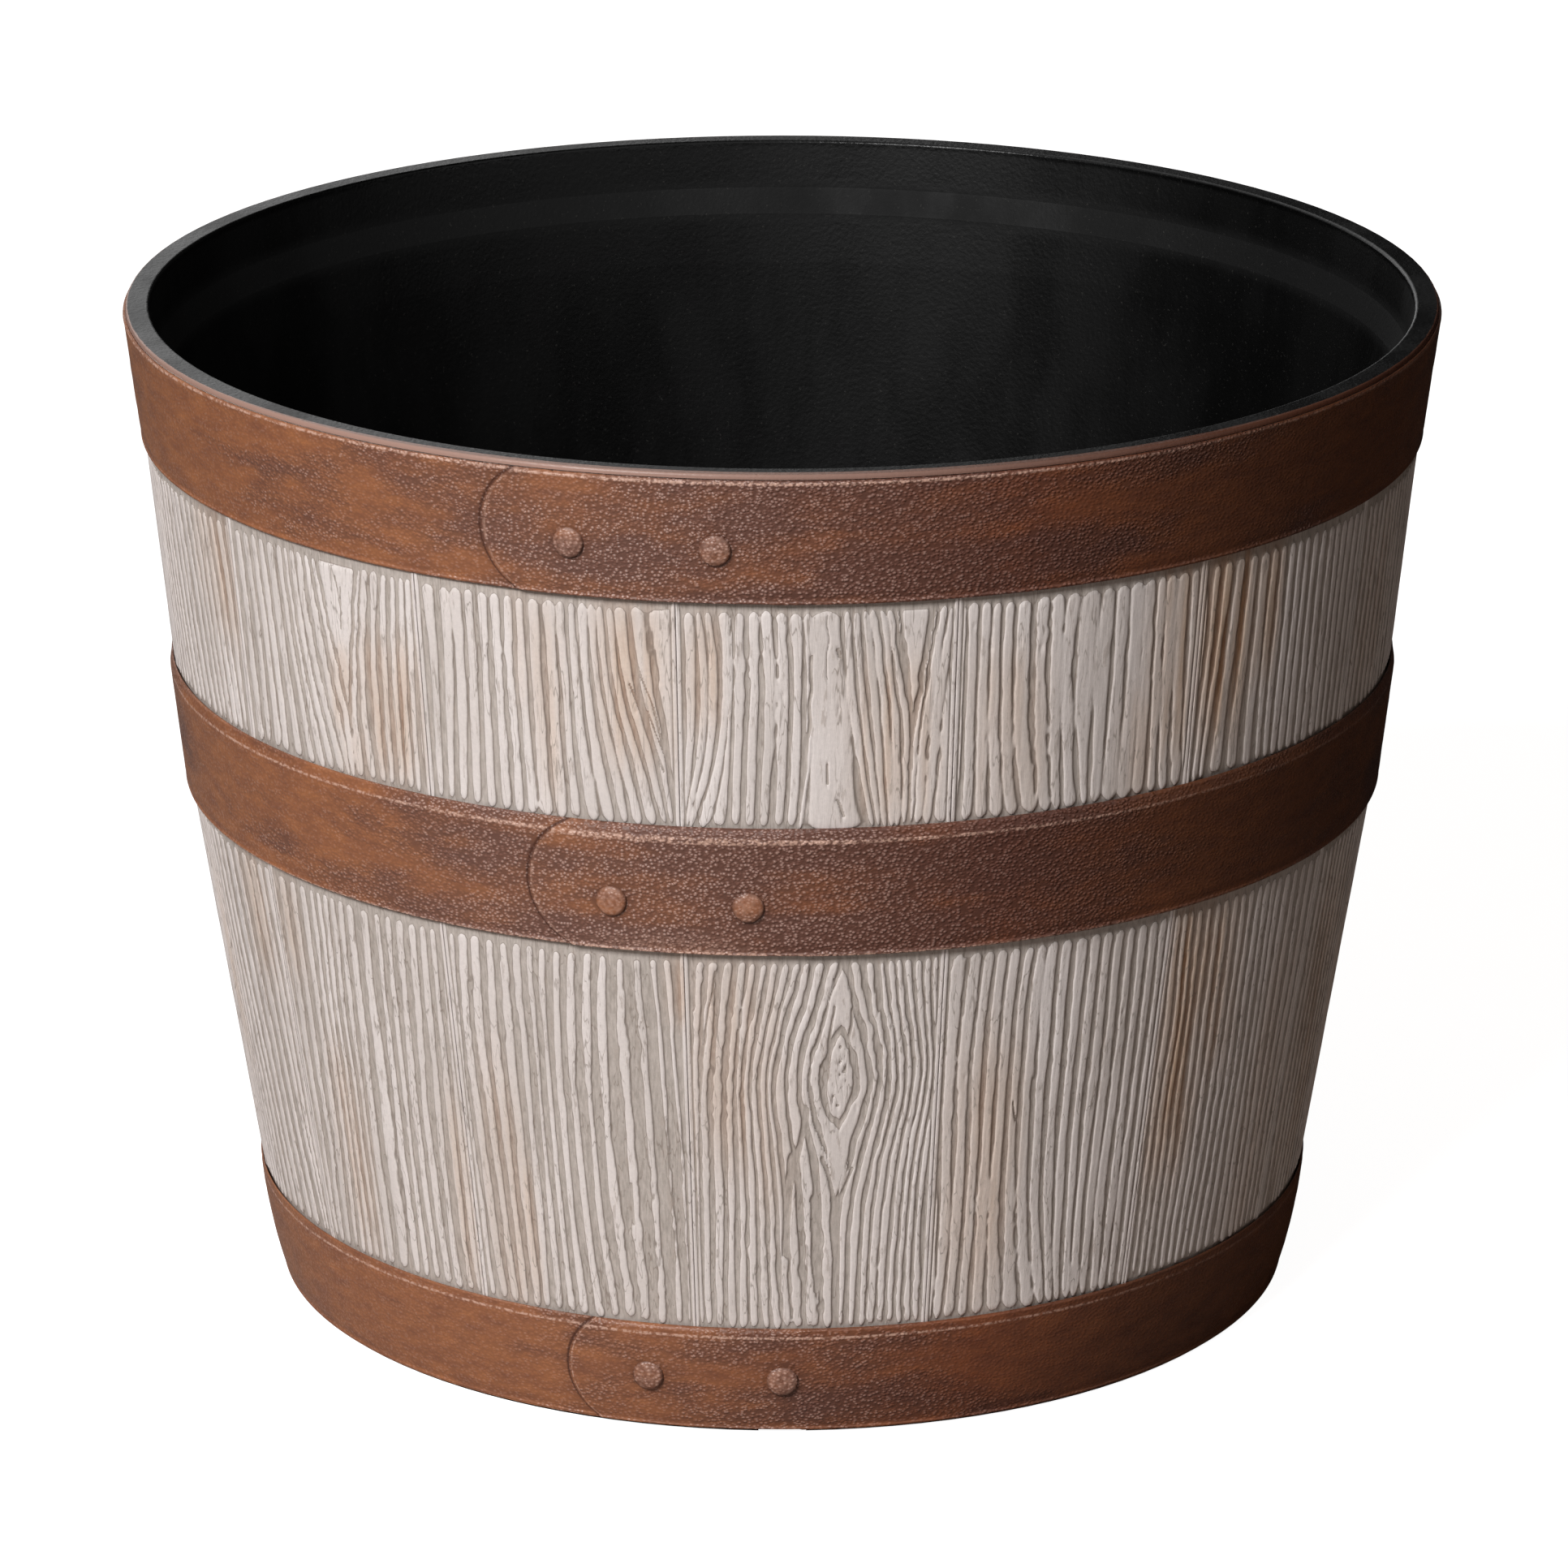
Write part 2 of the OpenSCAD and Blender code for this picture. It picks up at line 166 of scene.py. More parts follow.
def soft_black_rubber():
    """Matt black rubber with a dusty bloom and a fine moulded texture."""
    material, tree, shader, where = new_material("soft_black_rubber")
    bloom = add(tree, "TexNoise", pattern(where, 6.0, 4.0, 0.65))[0]
    bloom = add(tree, "MapRange", [bloom, 0.45, 0.8, 0.0, 0.6], **SOFT)[0]
    colour = add(tree, "Mix", {0: bloom, 6: PLUG_RUBBER, 7: PLUG_BLOOM}, **RGBA)[2]
    tree.links.new(colour, shader.inputs["Base Color"])
    shader.inputs["Roughness"].default_value = 0.75
    texture = add(tree, "TexNoise", pattern(where, 0.8))[0]
    skin = add(tree, "Bump", {"Strength": 0.3, "Distance": 0.2 * MM, "Height": texture})[0]
    tree.links.new(skin, shader.inputs["Normal"])
    return material


dressed("drain_plug", soft_black_rubber())

# The staves: fifteen resin boards with a deep weathered grain, moulded in relief and dry-brushed
# in warm white over grey, with tan stains. They stand on the tub's ledge, side by side, and the
# hoops cover their grain in two bands, so that each has an upper and a lower panel.
STAVES = 15
FIRST_SEAM_DEG = -9.0
STAVE_T = 3.0
SEAM = 0.2
GRAIN_R = 185.0
GRAIN_DEPTH = 0.42
COLUMNS = 236
ROW_STEP = 1.0
BACK_COLUMNS = 9
PANEL_END = 2.4
SEAM_STRIP = 0.9


def cad_points(node):
    """The vertices of a CAD node in millimetres: one row each."""
    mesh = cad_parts[node].data
    flat = np.empty(len(mesh.vertices) * 3)
    mesh.vertices.foreach_get("co", flat)
    return flat.reshape(-1, 3) / MM


def outer_line(points):
    """Heights where a turned shape's outside has vertices, and its radius there: the greatest
    at each height, less those that lie well inside the line between their neighbours."""
    radius = np.hypot(points[:, 0], points[:, 1])
    heights = np.unique(points[:, 2].round(1))
    greatest = np.array([radius[abs(points[:, 2] - z) < 0.06].max() for z in heights])
    share = np.diff(heights)[:-1] / (heights[2:] - heights[:-2])
    chord = greatest[:-2] * (1 - share) + greatest[2:] * share
    outside = np.concatenate([[True], greatest[1:-1] > chord - 0.3, [True]])
    return heights[outside], greatest[outside]


LINE_Z, LINE_R = outer_line(cad_points("stave_02"))
BOTTOM_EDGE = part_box("bottom_hoop")[1].z / MM
MIDDLE_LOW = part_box("middle_hoop")[0].z / MM
MIDDLE_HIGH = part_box("middle_hoop")[1].z / MM
TOP_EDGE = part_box("top_hoop")[0].z / MM
LOWEST_R = np.interp(BOTTOM_EDGE, LINE_Z, LINE_R)
STAVE_HALF = GRAIN_R * (math.radians(180 / STAVES) - SEAM / 2 / LOWEST_R)


def smooth_step(low, high, value):
    """0 below low and 1 above high, on the curve 3t^2 - 2t^3 between."""
    t = np.clip((value - low) / (high - low), 0, 1)
    return t * t * (3 - 2 * t)


def wander(x, y, seed):
    """Smooth noise from -1 to 1: random values on a unit lattice, blended between the four
    around a point along the curve 3t^2 - 2t^3."""
    table = np.random.default_rng(seed).uniform(-1, 1, (64, 64))
    column, row = np.floor(x).astype(int), np.floor(y).astype(int)
    across, up = smooth_step(0, 1, x - column), smooth_step(0, 1, y - row)
    left = table[column % 64, row % 64] * (1 - up) + table[column % 64, (row + 1) % 64] * up
    right = table[(column + 1) % 64, row % 64] * (1 - up) + table[(column + 1) % 64, (row + 1) % 64] * up
    return left * (1 - across) + right * across


def along_flow(s, z, low, high, flow):
    """Counts of grain lines, from lines given by a count and the places where they cross the
    panel's top, middle and foot. Each follows the parabola through its three places, and the
    count runs evenly from each line to the next."""
    up = (z - (low + high) / 2) / ((high - low) / 2)
    count, top, middle, foot = (np.array(part)[:, None, None] for part in zip(*flow))
    line = middle + (top - foot) / 2 * up + ((top + foot) / 2 - middle) * up ** 2
    share = np.clip((s - line[:-1]) / np.maximum(line[1:] - line[:-1], 0.4), 0, 1)
    return count[0] + (np.diff(count, axis=0) * share).sum(axis=0)


def parted(s, z, heart):
    """Places across the stave with the grain lines parted round a heart, and how deep inside it
    a point is. The heart's half width is a bell round a knot's level, and for a vee it grows in
    step with the height over its tip. Lines outside move away by it, less as they are further."""
    kind, across, level, width, height = heart
    if kind == "knot":
        half = width * np.exp(-((z - level) / height) ** 2) - 0.25
    else:
        half = width / height * (np.hypot(z - level, 4) + z - level) / 2 - 0.25
    half = half + 0.5 * wander(s / 3, z / 7, 77) + 0.25 * wander(s / 1.5, z / 2.5, 78)
    off = abs(s - across)
    moved = off - np.maximum(half, 0) * np.exp(-np.maximum(off - half, 0) / (1.6 * width))
    return across + np.sign(s - across) * np.maximum(moved, 0), half - off


def eye(s, z, knot):
    """Rings round a knot's pointed eye, as waves of the sum of the distance across over the
    eye's half width and the square of the distance up over its half height, and that sum."""
    reach = abs(s - knot[1]) / 4.2 + ((z - knot[2]) / 14.5) ** 2
    return np.cos(2 * np.pi * np.maximum(reach - 0.62, 0) / 1.15), reach


def spots(s, z, marks):
    """The strongest of some soft-edged oblong marks, each given by its place, half width, half
    height and strength, at each point."""
    found = np.zeros_like(s)
    for across, level, half_w, half_h, strength in marks:
        edge = (abs(s - across) / half_w) ** 3 + (abs(z - level) / half_h) ** 4
        found = np.maximum(found, strength * np.exp(-edge))
    return found


def strokes(s, z, cuts):
    """How close each point is to the nearest of some carved strokes, from 0 to 1. A stroke runs
    from one place to another and has a half width, and wanders a little."""
    near = np.zeros_like(s)
    for from_s, from_z, to_s, to_z, half in cuts:
        run, rise = to_s - from_s, to_z - from_z
        share = np.clip(((s - from_s) * run + (z - from_z) * rise) / (run ** 2 + rise ** 2), 0, 1)
        bent = 0.5 * wander(s / 6, z / 5, 91)
        gap = np.hypot(s + bent - from_s - share * run, z - from_z - share * rise)
        near = np.maximum(near, 1 - smooth_step(half - 0.25, half + 0.25, gap))
    return near


def ridges(s, z, low, high, grain, seed):
    """A field that is over 0 on one panel's ridges, and the number of the nearest grain line. It
    is how far the cosine of the lines' count is over a level that drifts along each ridge, with
    ragged edges in patches. A heart is flat inside, with a groove round it."""
    x = s + 0.9 * wander(s / 30, z / 60, seed) + 0.45 * wander(s / 10, z / 24, seed + 1)
    x = x + 0.16 * wander(s / 1.5, z / 5, seed + 2)
    inside = np.full_like(s, -9.0)
    for heart in grain["hearts"]:
        x, depth_in = parted(x, z, heart)
        inside = np.maximum(inside, depth_in)
    count = along_flow(x, z, low, high, grain["flow"])
    count = count + 0.22 * wander(count / 2.1, z / 120, seed + 3)
    broad = grain["broad"] + grain["widen"] * s / STAVE_HALF
    field = np.cos(2 * np.pi * count) - np.cos(np.pi * broad)
    field += 0.5 * wander(count + 0.5, z / 34, seed + 4) + 0.3 * wander(s / 2.2, z / 16, seed + 5)
    field = np.where(inside > 0, -1 + 2 * smooth_step(0.2, 1.6, inside), field)
    field = np.where((inside > -0.6) & (inside <= 0), np.minimum(field, -0.5), field)
    ragged = grain["ragged"] * smooth_step(-0.2, 0.5, wander(s / 11, z / 22, seed + 17))
    field += ragged * (0.6 * wander(s / 1.1, z / 2.2, seed + 18) + 0.5 * wander(s / 0.8, z / 6, seed + 19))
    return field + spots(s, z, grain["smooth"]), np.round(count)


def with_eye(field, s, z, knot, seed):
    """A field with the rings of a knot in it, round an eye that is pitted."""
    rough_s = s + 0.5 * wander(s / 4, z / 7, seed + 6) + 0.3 * wander(s / 0.9, z / 2, seed + 20)
    rings, reach = eye(rough_s, z + 2.5 * wander(s / 3, z / 6, seed + 21), knot)
    pitted = smooth_step(0.45, 0.7, wander(s / 0.8, z / 1.6, seed + 22)) * (reach < 0.6)
    rings = rings - 1.5 * pitted
    near = 1 - smooth_step(1.9, 2.3, reach)
    return field * (1 - near) + (rings + 0.35 * wander(s / 2, z / 8, seed + 7)) * near


def with_edges(field, s, z, low, high, number, seed):
    """A field that falls as a square near the panel's ends, which rounds the ridges' tops and
    tapers their feet, and that has a plain strip and a groove along each seam."""
    top = high - PANEL_END - 0.8 * wander(number + 0.5, number * 0 + 3.5, seed + 8)
    foot = low + PANEL_END - 2.8 + 1.3 * wander(number + 0.5, number * 0 + 9.5, seed + 9)
    field = field - 2.4 * np.clip((z - top + 2.2) / 2.2, 0, 2) ** 2
    field = field - 2.4 * np.clip((foot + 3 - z) / 3, 0, 2) ** 2
    nearest = STAVE_HALF - abs(s)
    strip = 1 - smooth_step(SEAM_STRIP, SEAM_STRIP + 0.3, nearest)
    field = field * (1 - strip) + 0.9 * strip
    groove = np.exp(-((nearest - SEAM_STRIP - 0.45) / 0.3) ** 2)
    return field * (1 - groove) - 0.7 * groove


def relief(field, s, z, low, high, nicks, seed):
    """The height of a panel's surface under the stave's outside: ridges with rounded tops and
    valleys of uneven depth, under a fine ripple, with a few nicks at random."""
    depth = GRAIN_DEPTH * (1 + 0.3 * wander(s / 12, z / 30, seed + 10))
    height = -depth * (1 - smooth_step(-0.34, 0.3, field))
    height -= 0.1 * (1 - np.clip(field / 1.2, 0, 1)) ** 2
    height -= 0.04 + 0.04 * wander(s / 0.9, z / 9, seed + 11)
    rng = np.random.default_rng(seed + 12)
    for _ in range(nicks):
        across, up = rng.uniform(-STAVE_HALF + 4, STAVE_HALF - 4), rng.uniform(low + 8, high - 8)
        size, long = rng.uniform(0.4, 0.7), rng.uniform(0.8, 2.4)
        height -= 0.4 * np.exp(-((s - across) / size) ** 2 - ((z - up) / (size * long)) ** 2)
    return height


def grain_panel(s, z, low, high, grain, seed):
    """One panel's field of ridges, the height of its surface, its stain and its tone."""
    field, number = ridges(s, z, low, high, grain, seed)
    for heart in grain["hearts"]:
        if heart[0] == "knot":
            field = with_eye(field, s, z, heart, seed)
    carved = strokes(s, z, grain["cuts"])
    field = with_edges(field * (1 - carved) - 0.9 * carved, s, z, low, high, number, seed)
    height = relief(field, s, z, low, high, grain["nicks"], seed)
    stain = spots(s + 1.5 * wander(s / 5, z / 40, seed + 13), z, grain["stains"])
    stain = stain * (0.75 + 0.5 * wander(s / 2.2, z / 35, seed + 14))
    tone = wander(number + 0.5, z / 45, seed + 15) * 0.6 + wander(s / 14, z / 22, seed + 16) * 0.4
    return field, height, np.clip(stain, 0, 1), tone


def grain(flow, hearts=(), broad=0.62, widen=0.0, smooth=(), cuts=(), stains=(), nicks=3, ragged=0.5):
    """What one panel's grain is like: its flow, hearts, share that is ridge and how that grows
    to the right, smooth patches, carved strokes, stains, number of nicks, and raggedness."""
    return {"flow": flow, "hearts": hearts, "broad": broad, "widen": widen, "smooth": smooth,
            "cuts": cuts, "stains": stains, "nicks": nicks, "ragged": ragged}


def edged(*lines):
    """A flow with a line down each side of the stave added: lines[0] and [-1] are its counts."""
    left, right = (lines[0],) + (-STAVE_HALF,) * 3, (lines[-1],) + (STAVE_HALF,) * 3
    return [left, *lines[1:-1], right]


# The panels that face the front, upper then lower. A flow line is a count and its places at the
# top, middle and foot; a heart is a kind, place, level, half width and height; patches and stains
# are a place, level, half sizes and a strength; a stroke is two places and a half width.
FRONT_GRAIN = {
    13: (grain(edged(0, (8.5, -10, -8, -4), (13, 10, 13, 18), (17.5, 30, 32, 34.5), 19.2), broad=0.6,
               stains=[(32, 248, 9, 22, 0.5), (20, 252, 5, 18, 0.3)]),
         grain(edged(0, (8, -12, -8, -3), (14, 26, 29, 34), 16.5), broad=0.55,
               smooth=[(24, 140, 4, 12, 0.8)],
               stains=[(24, 138, 10, 22, 0.35), (-20, 110, 8, 30, 0.3)])),
    14: (grain(edged(0, (2.3, -28.5, -28.5, -29), (6, -12, -12, -9.7), (9.5, 1.6, 0.5, 6),
                     (11.5, 10.3, 10.3, 10.3), (12.7, 14.5, 15, 16.5), (15.6, 26.5, 27, 26.5), 19),
               [("vee", 10.3, 213.5, 8, 48)], broad=0.6,
               cuts=[(9.5, 259, 10.6, 248, 0.3), (11, 256, 10, 243, 0.25), (7.5, 236, 7.8, 229, 0.4)],
               smooth=[(11, 206, 6, 6, 0.8)],
               stains=[(27, 222, 12, 22, 0.6), (8, 224, 5, 14, 0.5), (14, 205, 8, 10, 0.35)]),
         grain(edged(0, (1.5, -29, -31.6, -34), (4, -17.2, -19.7, -23.5), (7, -6, -9, -11.6),
                     (9, 2.2, -2.2, -4.7), (11, 12.8, 10.3, 8.4), (14, 27.2, 23.4, 22.8),
                     (16, 34.7, 33.4, 34), 17.2), broad=0.5, cuts=[(-32.5, 75, -33.5, 66, 0.6)],
               smooth=[(8, 48, 4, 10, 0.7)],
               stains=[(-15, 70, 8, 34, 0.4), (34, 66, 5, 34, 0.4), (-32, 140, 7, 18, 0.3)])),
    15: (grain(edged(0, (2.3, -28.5, -29, -31), (6.4, -12, -12, -11.6), (10.3, 4, 4.7, 5.3),
                     (13.4, 14, 16, 20.5), (16.8, 21.5, 26.5, 34), (18.5, 29.7, 34.7, 37.2), 19.2),
               broad=0.66, nicks=5, ragged=0.6,
               cuts=[(28, 246, 35, 220, 0.3), (25, 240, 34.5, 214, 0.3), (30, 232, 36, 216, 0.25)],
               stains=[(1, 232, 5, 30, 0.4), (27, 240, 12, 26, 0.55), (-6, 250, 3, 20, 0.3)]),
         grain(edged(0, (1.5, -34, -35.7, -33.5), (3, -27.2, -28.5, -26), (6, -13.5, -14, -14),
                     (9, 0.3, -2.2, -1), (12, 14, 11.6, 16), (14, 23.4, 25.3, 26.6), (15, 28.4, 31, 33),
                     (16, 32.8, 36, 37.2), 17), broad=0.47, widen=-0.12, nicks=9,
               cuts=[(19, 81, 19.3, 68, 0.35)],
               stains=[(-26, 72, 7, 44, 0.5), (36, 146, 4, 12, 0.5), (-19, 60, 4, 26, 0.4)])),
    1: (grain(edged(0, (1.5, -33.7, -33.4, -36.9), (3.5, -29.3, -28.4, -34.6),
                    (4.5, -24.4, -25.6, -30.3), (5.5, -23.8, -24.4, -24.6), (10.5, -3.7, -3.7, -5.9),
                    (11.5, -1.2, -1.2, -4.9), (12.5, 7.8, 8.8, 14.7), (18.5, 24, 26.2, 26.2),
                    (19.8, 30, 29, 28.5), (21.5, 36, 34.7, 33.4), 22.3),
              [("vee", 26.2, 223.5, 5.2, 40)], broad=0.74, nicks=5, ragged=0.7,
              cuts=[(-1.6, 250, -2, 226, 0.5), (-2.2, 226, -4.6, 203, 0.55), (5.4, 252, 6.2, 250, 0.5),
                    (3, 217, 3.4, 211, 0.45), (5.5, 206, 7.5, 201, 0.6), (2.6, 262, 2.8, 243, 0.25)],
              smooth=[(2.5, 232, 3.6, 34, 1.2), (5, 206, 5, 8, 0.8)],
              stains=[(22, 224, 13, 26, 0.5), (-31, 245, 5, 18, 0.5), (30, 210, 6, 14, 0.3)]),
        grain(edged(0, (2, -30, -34, -34), (4, -21.5, -25, -26), (9.5, -3, -8, -6),
                    (12.5, 7.8, 7.8, 7.8), (14.5, 18, 18, 16), (18, 27, 28, 27), (20, 33.5, 33, 33),
                    22), [("knot", 7.8, 116.9, 9.5, 27)], broad=0.58, nicks=6, ragged=0.9,
              cuts=[(4.5, 128, 6, 141, 0.4), (11.5, 140, 10, 128, 0.4), (3, 92, 7, 79, 0.6),
                    (13, 88, 9, 78, 0.5), (6, 74, 7.5, 60, 0.5), (-2, 108, -6, 88, 0.9),
                    (-7, 92, -9, 60, 1.2), (0, 78, 1.5, 48, 0.9), (-29.5, 152, -33, 132, 0.25),
                    (-33, 132, -35.5, 111, 0.3)],
              smooth=[(7.5, 140, 3.2, 9, 1.4), (7.5, 88, 4, 9, 1.4)],
              stains=[(-25, 122, 13, 36, 0.42), (-12, 100, 7, 26, 0.3)])),
    2: (grain(edged(0, (1, -34.7, -34.7, -35.3), (2, -30.9, -30.9, -30.9), (5, -18.8, -19, -14),
                    (7, -10.3, -9.7, -6.5), (8, -5.7, -5.9, -2.8), (8.5, -3.2, -4, 1), (9.5, 3, 2.2, 4),
                    (10.5, 7.8, 7.4, 7.8), (13.5, 21, 21.6, 23.5), (16.5, 33.2, 34, 36.6), 18),
              broad=0.78, nicks=6,
              stains=[(-22, 222, 11, 26, 0.4), (31, 240, 9, 34, 0.75), (20, 214, 8, 18, 0.4)]),
        grain(edged(0, (2, -29, -29.7, -32), (5, -16, -17.2, -14), (7, -7.8, -9, -0.3), (9, 1, 1, 7.8),
                    (12, 15.3, 14.7, 17.8), (15, 28.4, 27.8, 28.4), (17, 36, 36, 36), 18.2), broad=0.7,
              nicks=5, cuts=[(-13.3, 105, -11.5, 99, 0.3)], smooth=[(15, 42, 4, 4, 1.2)],
              stains=[(-23, 84, 13, 44, 0.5), (-30, 60, 5, 26, 0.3)])),
    3: (grain(edged(0, (2.5, -27.2, -29, -32.2), (5.5, -12.8, -12.2, -11.2), (13, 17.8, 18.8, 19.7),
                    18.5), broad=0.6, stains=[(-28, 242, 12, 34, 1.0), (-14, 246, 8, 24, 0.8)]),
        grain(edged(0, (3, -30.3, -29, -28.4), (9, -7.2, -4.7, -5.9), (14, 11.6, 14, 17.8), 19.5),
              broad=0.52,
              stains=[(-29, 116, 12, 46, 0.9), (-15, 128, 11, 30, 0.6), (24, 80, 14, 50, 0.3)])),
    4: (grain(edged(0, (10, 2, 3, 4), 19), broad=0.5, stains=[(-20, 230, 14, 30, 0.3)]),
        grain(edged(0, (10, 3, 4, 6), 20), broad=0.4,
              stains=[(-18, 90, 16, 60, 0.5), (14, 80, 14, 50, 0.4)])),
}


def wild_grain(low, high, seed):
    """A panel's grain picked at random in the same ranges as the front ones."""
    rng = np.random.default_rng(seed)
    lean = rng.uniform(-5, 5, 3) + rng.uniform(-4, 4)
    bow = rng.uniform(-1.5, 1.5, 3)
    counts = np.cumsum(rng.uniform(3.2, 5.2, 4))
    flow = edged(0, *[(counts[i], place + lean[i], place + bow[i], place - lean[i])
                      for i, place in enumerate((-19, 0, 19))], counts[3])
    kind = rng.choice(["none", "vee", "none", "knot", "none"])
    across, level = rng.uniform(-20, 20), rng.uniform(low + 15, high - 40)
    size = (rng.uniform(7, 10), rng.uniform(20, 28)) if kind == "knot" else (rng.uniform(5, 9), 48.0)
    stains = [(rng.uniform(-36, 36), rng.uniform(low, high), rng.uniform(5, 13), rng.uniform(18, 40),
               rng.uniform(0.3, 0.8)) for _ in range(rng.integers(1, 4))]
    hearts = [] if kind == "none" else [(str(kind), across, level, *size)]
    return grain(flow, hearts, rng.uniform(0.5, 0.74), stains=stains, nicks=int(rng.integers(3, 7)),
                 ragged=rng.uniform(0.3, 0.8))


def grid_quads(rows, columns, start=0):
    """Quads of a grid of points that are numbered row by row from start."""
    first = (np.arange(rows - 1)[:, None] * columns + np.arange(columns - 1)).ravel() + start
    return np.stack([first, first + 1, first + columns + 1, first + columns], axis=1)


def new_piece(name, points, faces, smooth, values=None):
    """A piece from points in millimetres, faces as lists of point numbers, whether each face is
    smooth, and named values at the points."""
    mesh = bpy.data.meshes.new(name)
    mesh.from_pydata((points * MM).tolist(), [], faces)
    mesh.polygons.foreach_set("use_smooth", smooth)
    for key, value in (values or {}).items():
        mesh.attributes.new(key, "FLOAT", "POINT").data.foreach_set("value", value.astype(np.float32))
    mesh.update()
    piece = bpy.data.objects.new(name, mesh)
    bpy.context.scene.collection.objects.link(piece)
    return piece


def around(radius, degrees, z):
    """Points at radii, heights and angles from the front (-Y), to the right."""
    turn = np.radians(degrees)
    return np.stack([radius * np.sin(turn), -radius * np.cos(turn), z + 0 * radius], axis=-1)


def stave_heights():
    """Rows of a stave: close where it shows, and its bends and a few more under the hoops."""
    lower = np.arange(BOTTOM_EDGE - 1.5, MIDDLE_LOW + 1, ROW_STEP)
    upper = np.arange(MIDDLE_HIGH - 1.5, TOP_EDGE + 1, ROW_STEP)
    return np.unique(np.concatenate([lower, upper, LINE_Z]).round(1))


def board_faces(rows):
    """Faces of a closed board: a fine grid in front, whose quads come first, a coarse one behind
    with as many rows, two sides and two ends."""
    outer = np.arange(rows * COLUMNS).reshape(rows, COLUMNS)
    inner = np.arange(rows * BACK_COLUMNS).reshape(rows, BACK_COLUMNS) + outer.size
    quads = [grid_quads(rows, COLUMNS), grid_quads(rows, BACK_COLUMNS, outer.size)[:, ::-1]]
    for edge, order in ((0, 1), (-1, -1)):
        strip = np.stack([outer[:-1, edge], outer[1:, edge], inner[1:, edge], inner[:-1, edge]], axis=1)
        quads.append(strip[:, ::order])
    ends = [np.concatenate([inner[0], outer[0, ::-1]]), np.concatenate([outer[-1], inner[-1, ::-1]])]
    return np.concatenate(quads).tolist() + [end.tolist() for end in ends]


def stave(number):
    """A closed board: the relief on its fine front, and a plain back. Each value is 0 behind, but
    the grain's field is a valley there."""
    start = FIRST_SEAM_DEG + (number - 1) * 360 / STAVES
    centre = start + 180 / STAVES
    z, s = np.meshgrid(stave_heights(), np.linspace(-STAVE_HALF, STAVE_HALF, COLUMNS), indexing="ij")
    bands = ((BOTTOM_EDGE, MIDDLE_LOW), (MIDDLE_HIGH, TOP_EDGE))
    picked = FRONT_GRAIN.get(number)
    field, height, stain, tone = -1 + 0 * z, -0.4 + 0 * z, 0 * z, 0 * z
    for band, (low, high) in enumerate(bands):
        seed = 1000 * number + 100 * band
        chosen = picked[1 - band] if picked else wild_grain(low, high, seed)
        inside = (z[:, 0] > low - 2) & (z[:, 0] < high + 2)
        made = grain_panel(s[inside], z[inside], low, high, chosen, seed)
        field[inside], height[inside], stain[inside], tone[inside] = made
    rows = len(z)
    front = around(np.interp(z, LINE_Z, LINE_R) + height, centre + np.degrees(s / GRAIN_R), z)
    back_s = np.linspace(-STAVE_HALF, STAVE_HALF, BACK_COLUMNS)
    back_r = np.interp(z[:, :1], LINE_Z, LINE_R) - STAVE_T + 0 * back_s
    back = around(back_r, centre + np.degrees(back_s / GRAIN_R), z[:, :1])
    points = np.concatenate([front.reshape(-1, 3), back.reshape(-1, 3)])
    faces = board_faces(rows)
    smooth = np.zeros(len(faces), bool)
    smooth[:(rows - 1) * (COLUMNS - 1)] = True
    values = {}
    for key, value, behind in (("grain", field, -1.0), ("stain", stain, 0.0), ("tone", tone, 0.0)):
        values[key] = np.concatenate([value.ravel(), np.full(rows * BACK_COLUMNS, behind)])
    return new_piece(f"stave_{number:02d}_grain", points, faces, smooth, values)


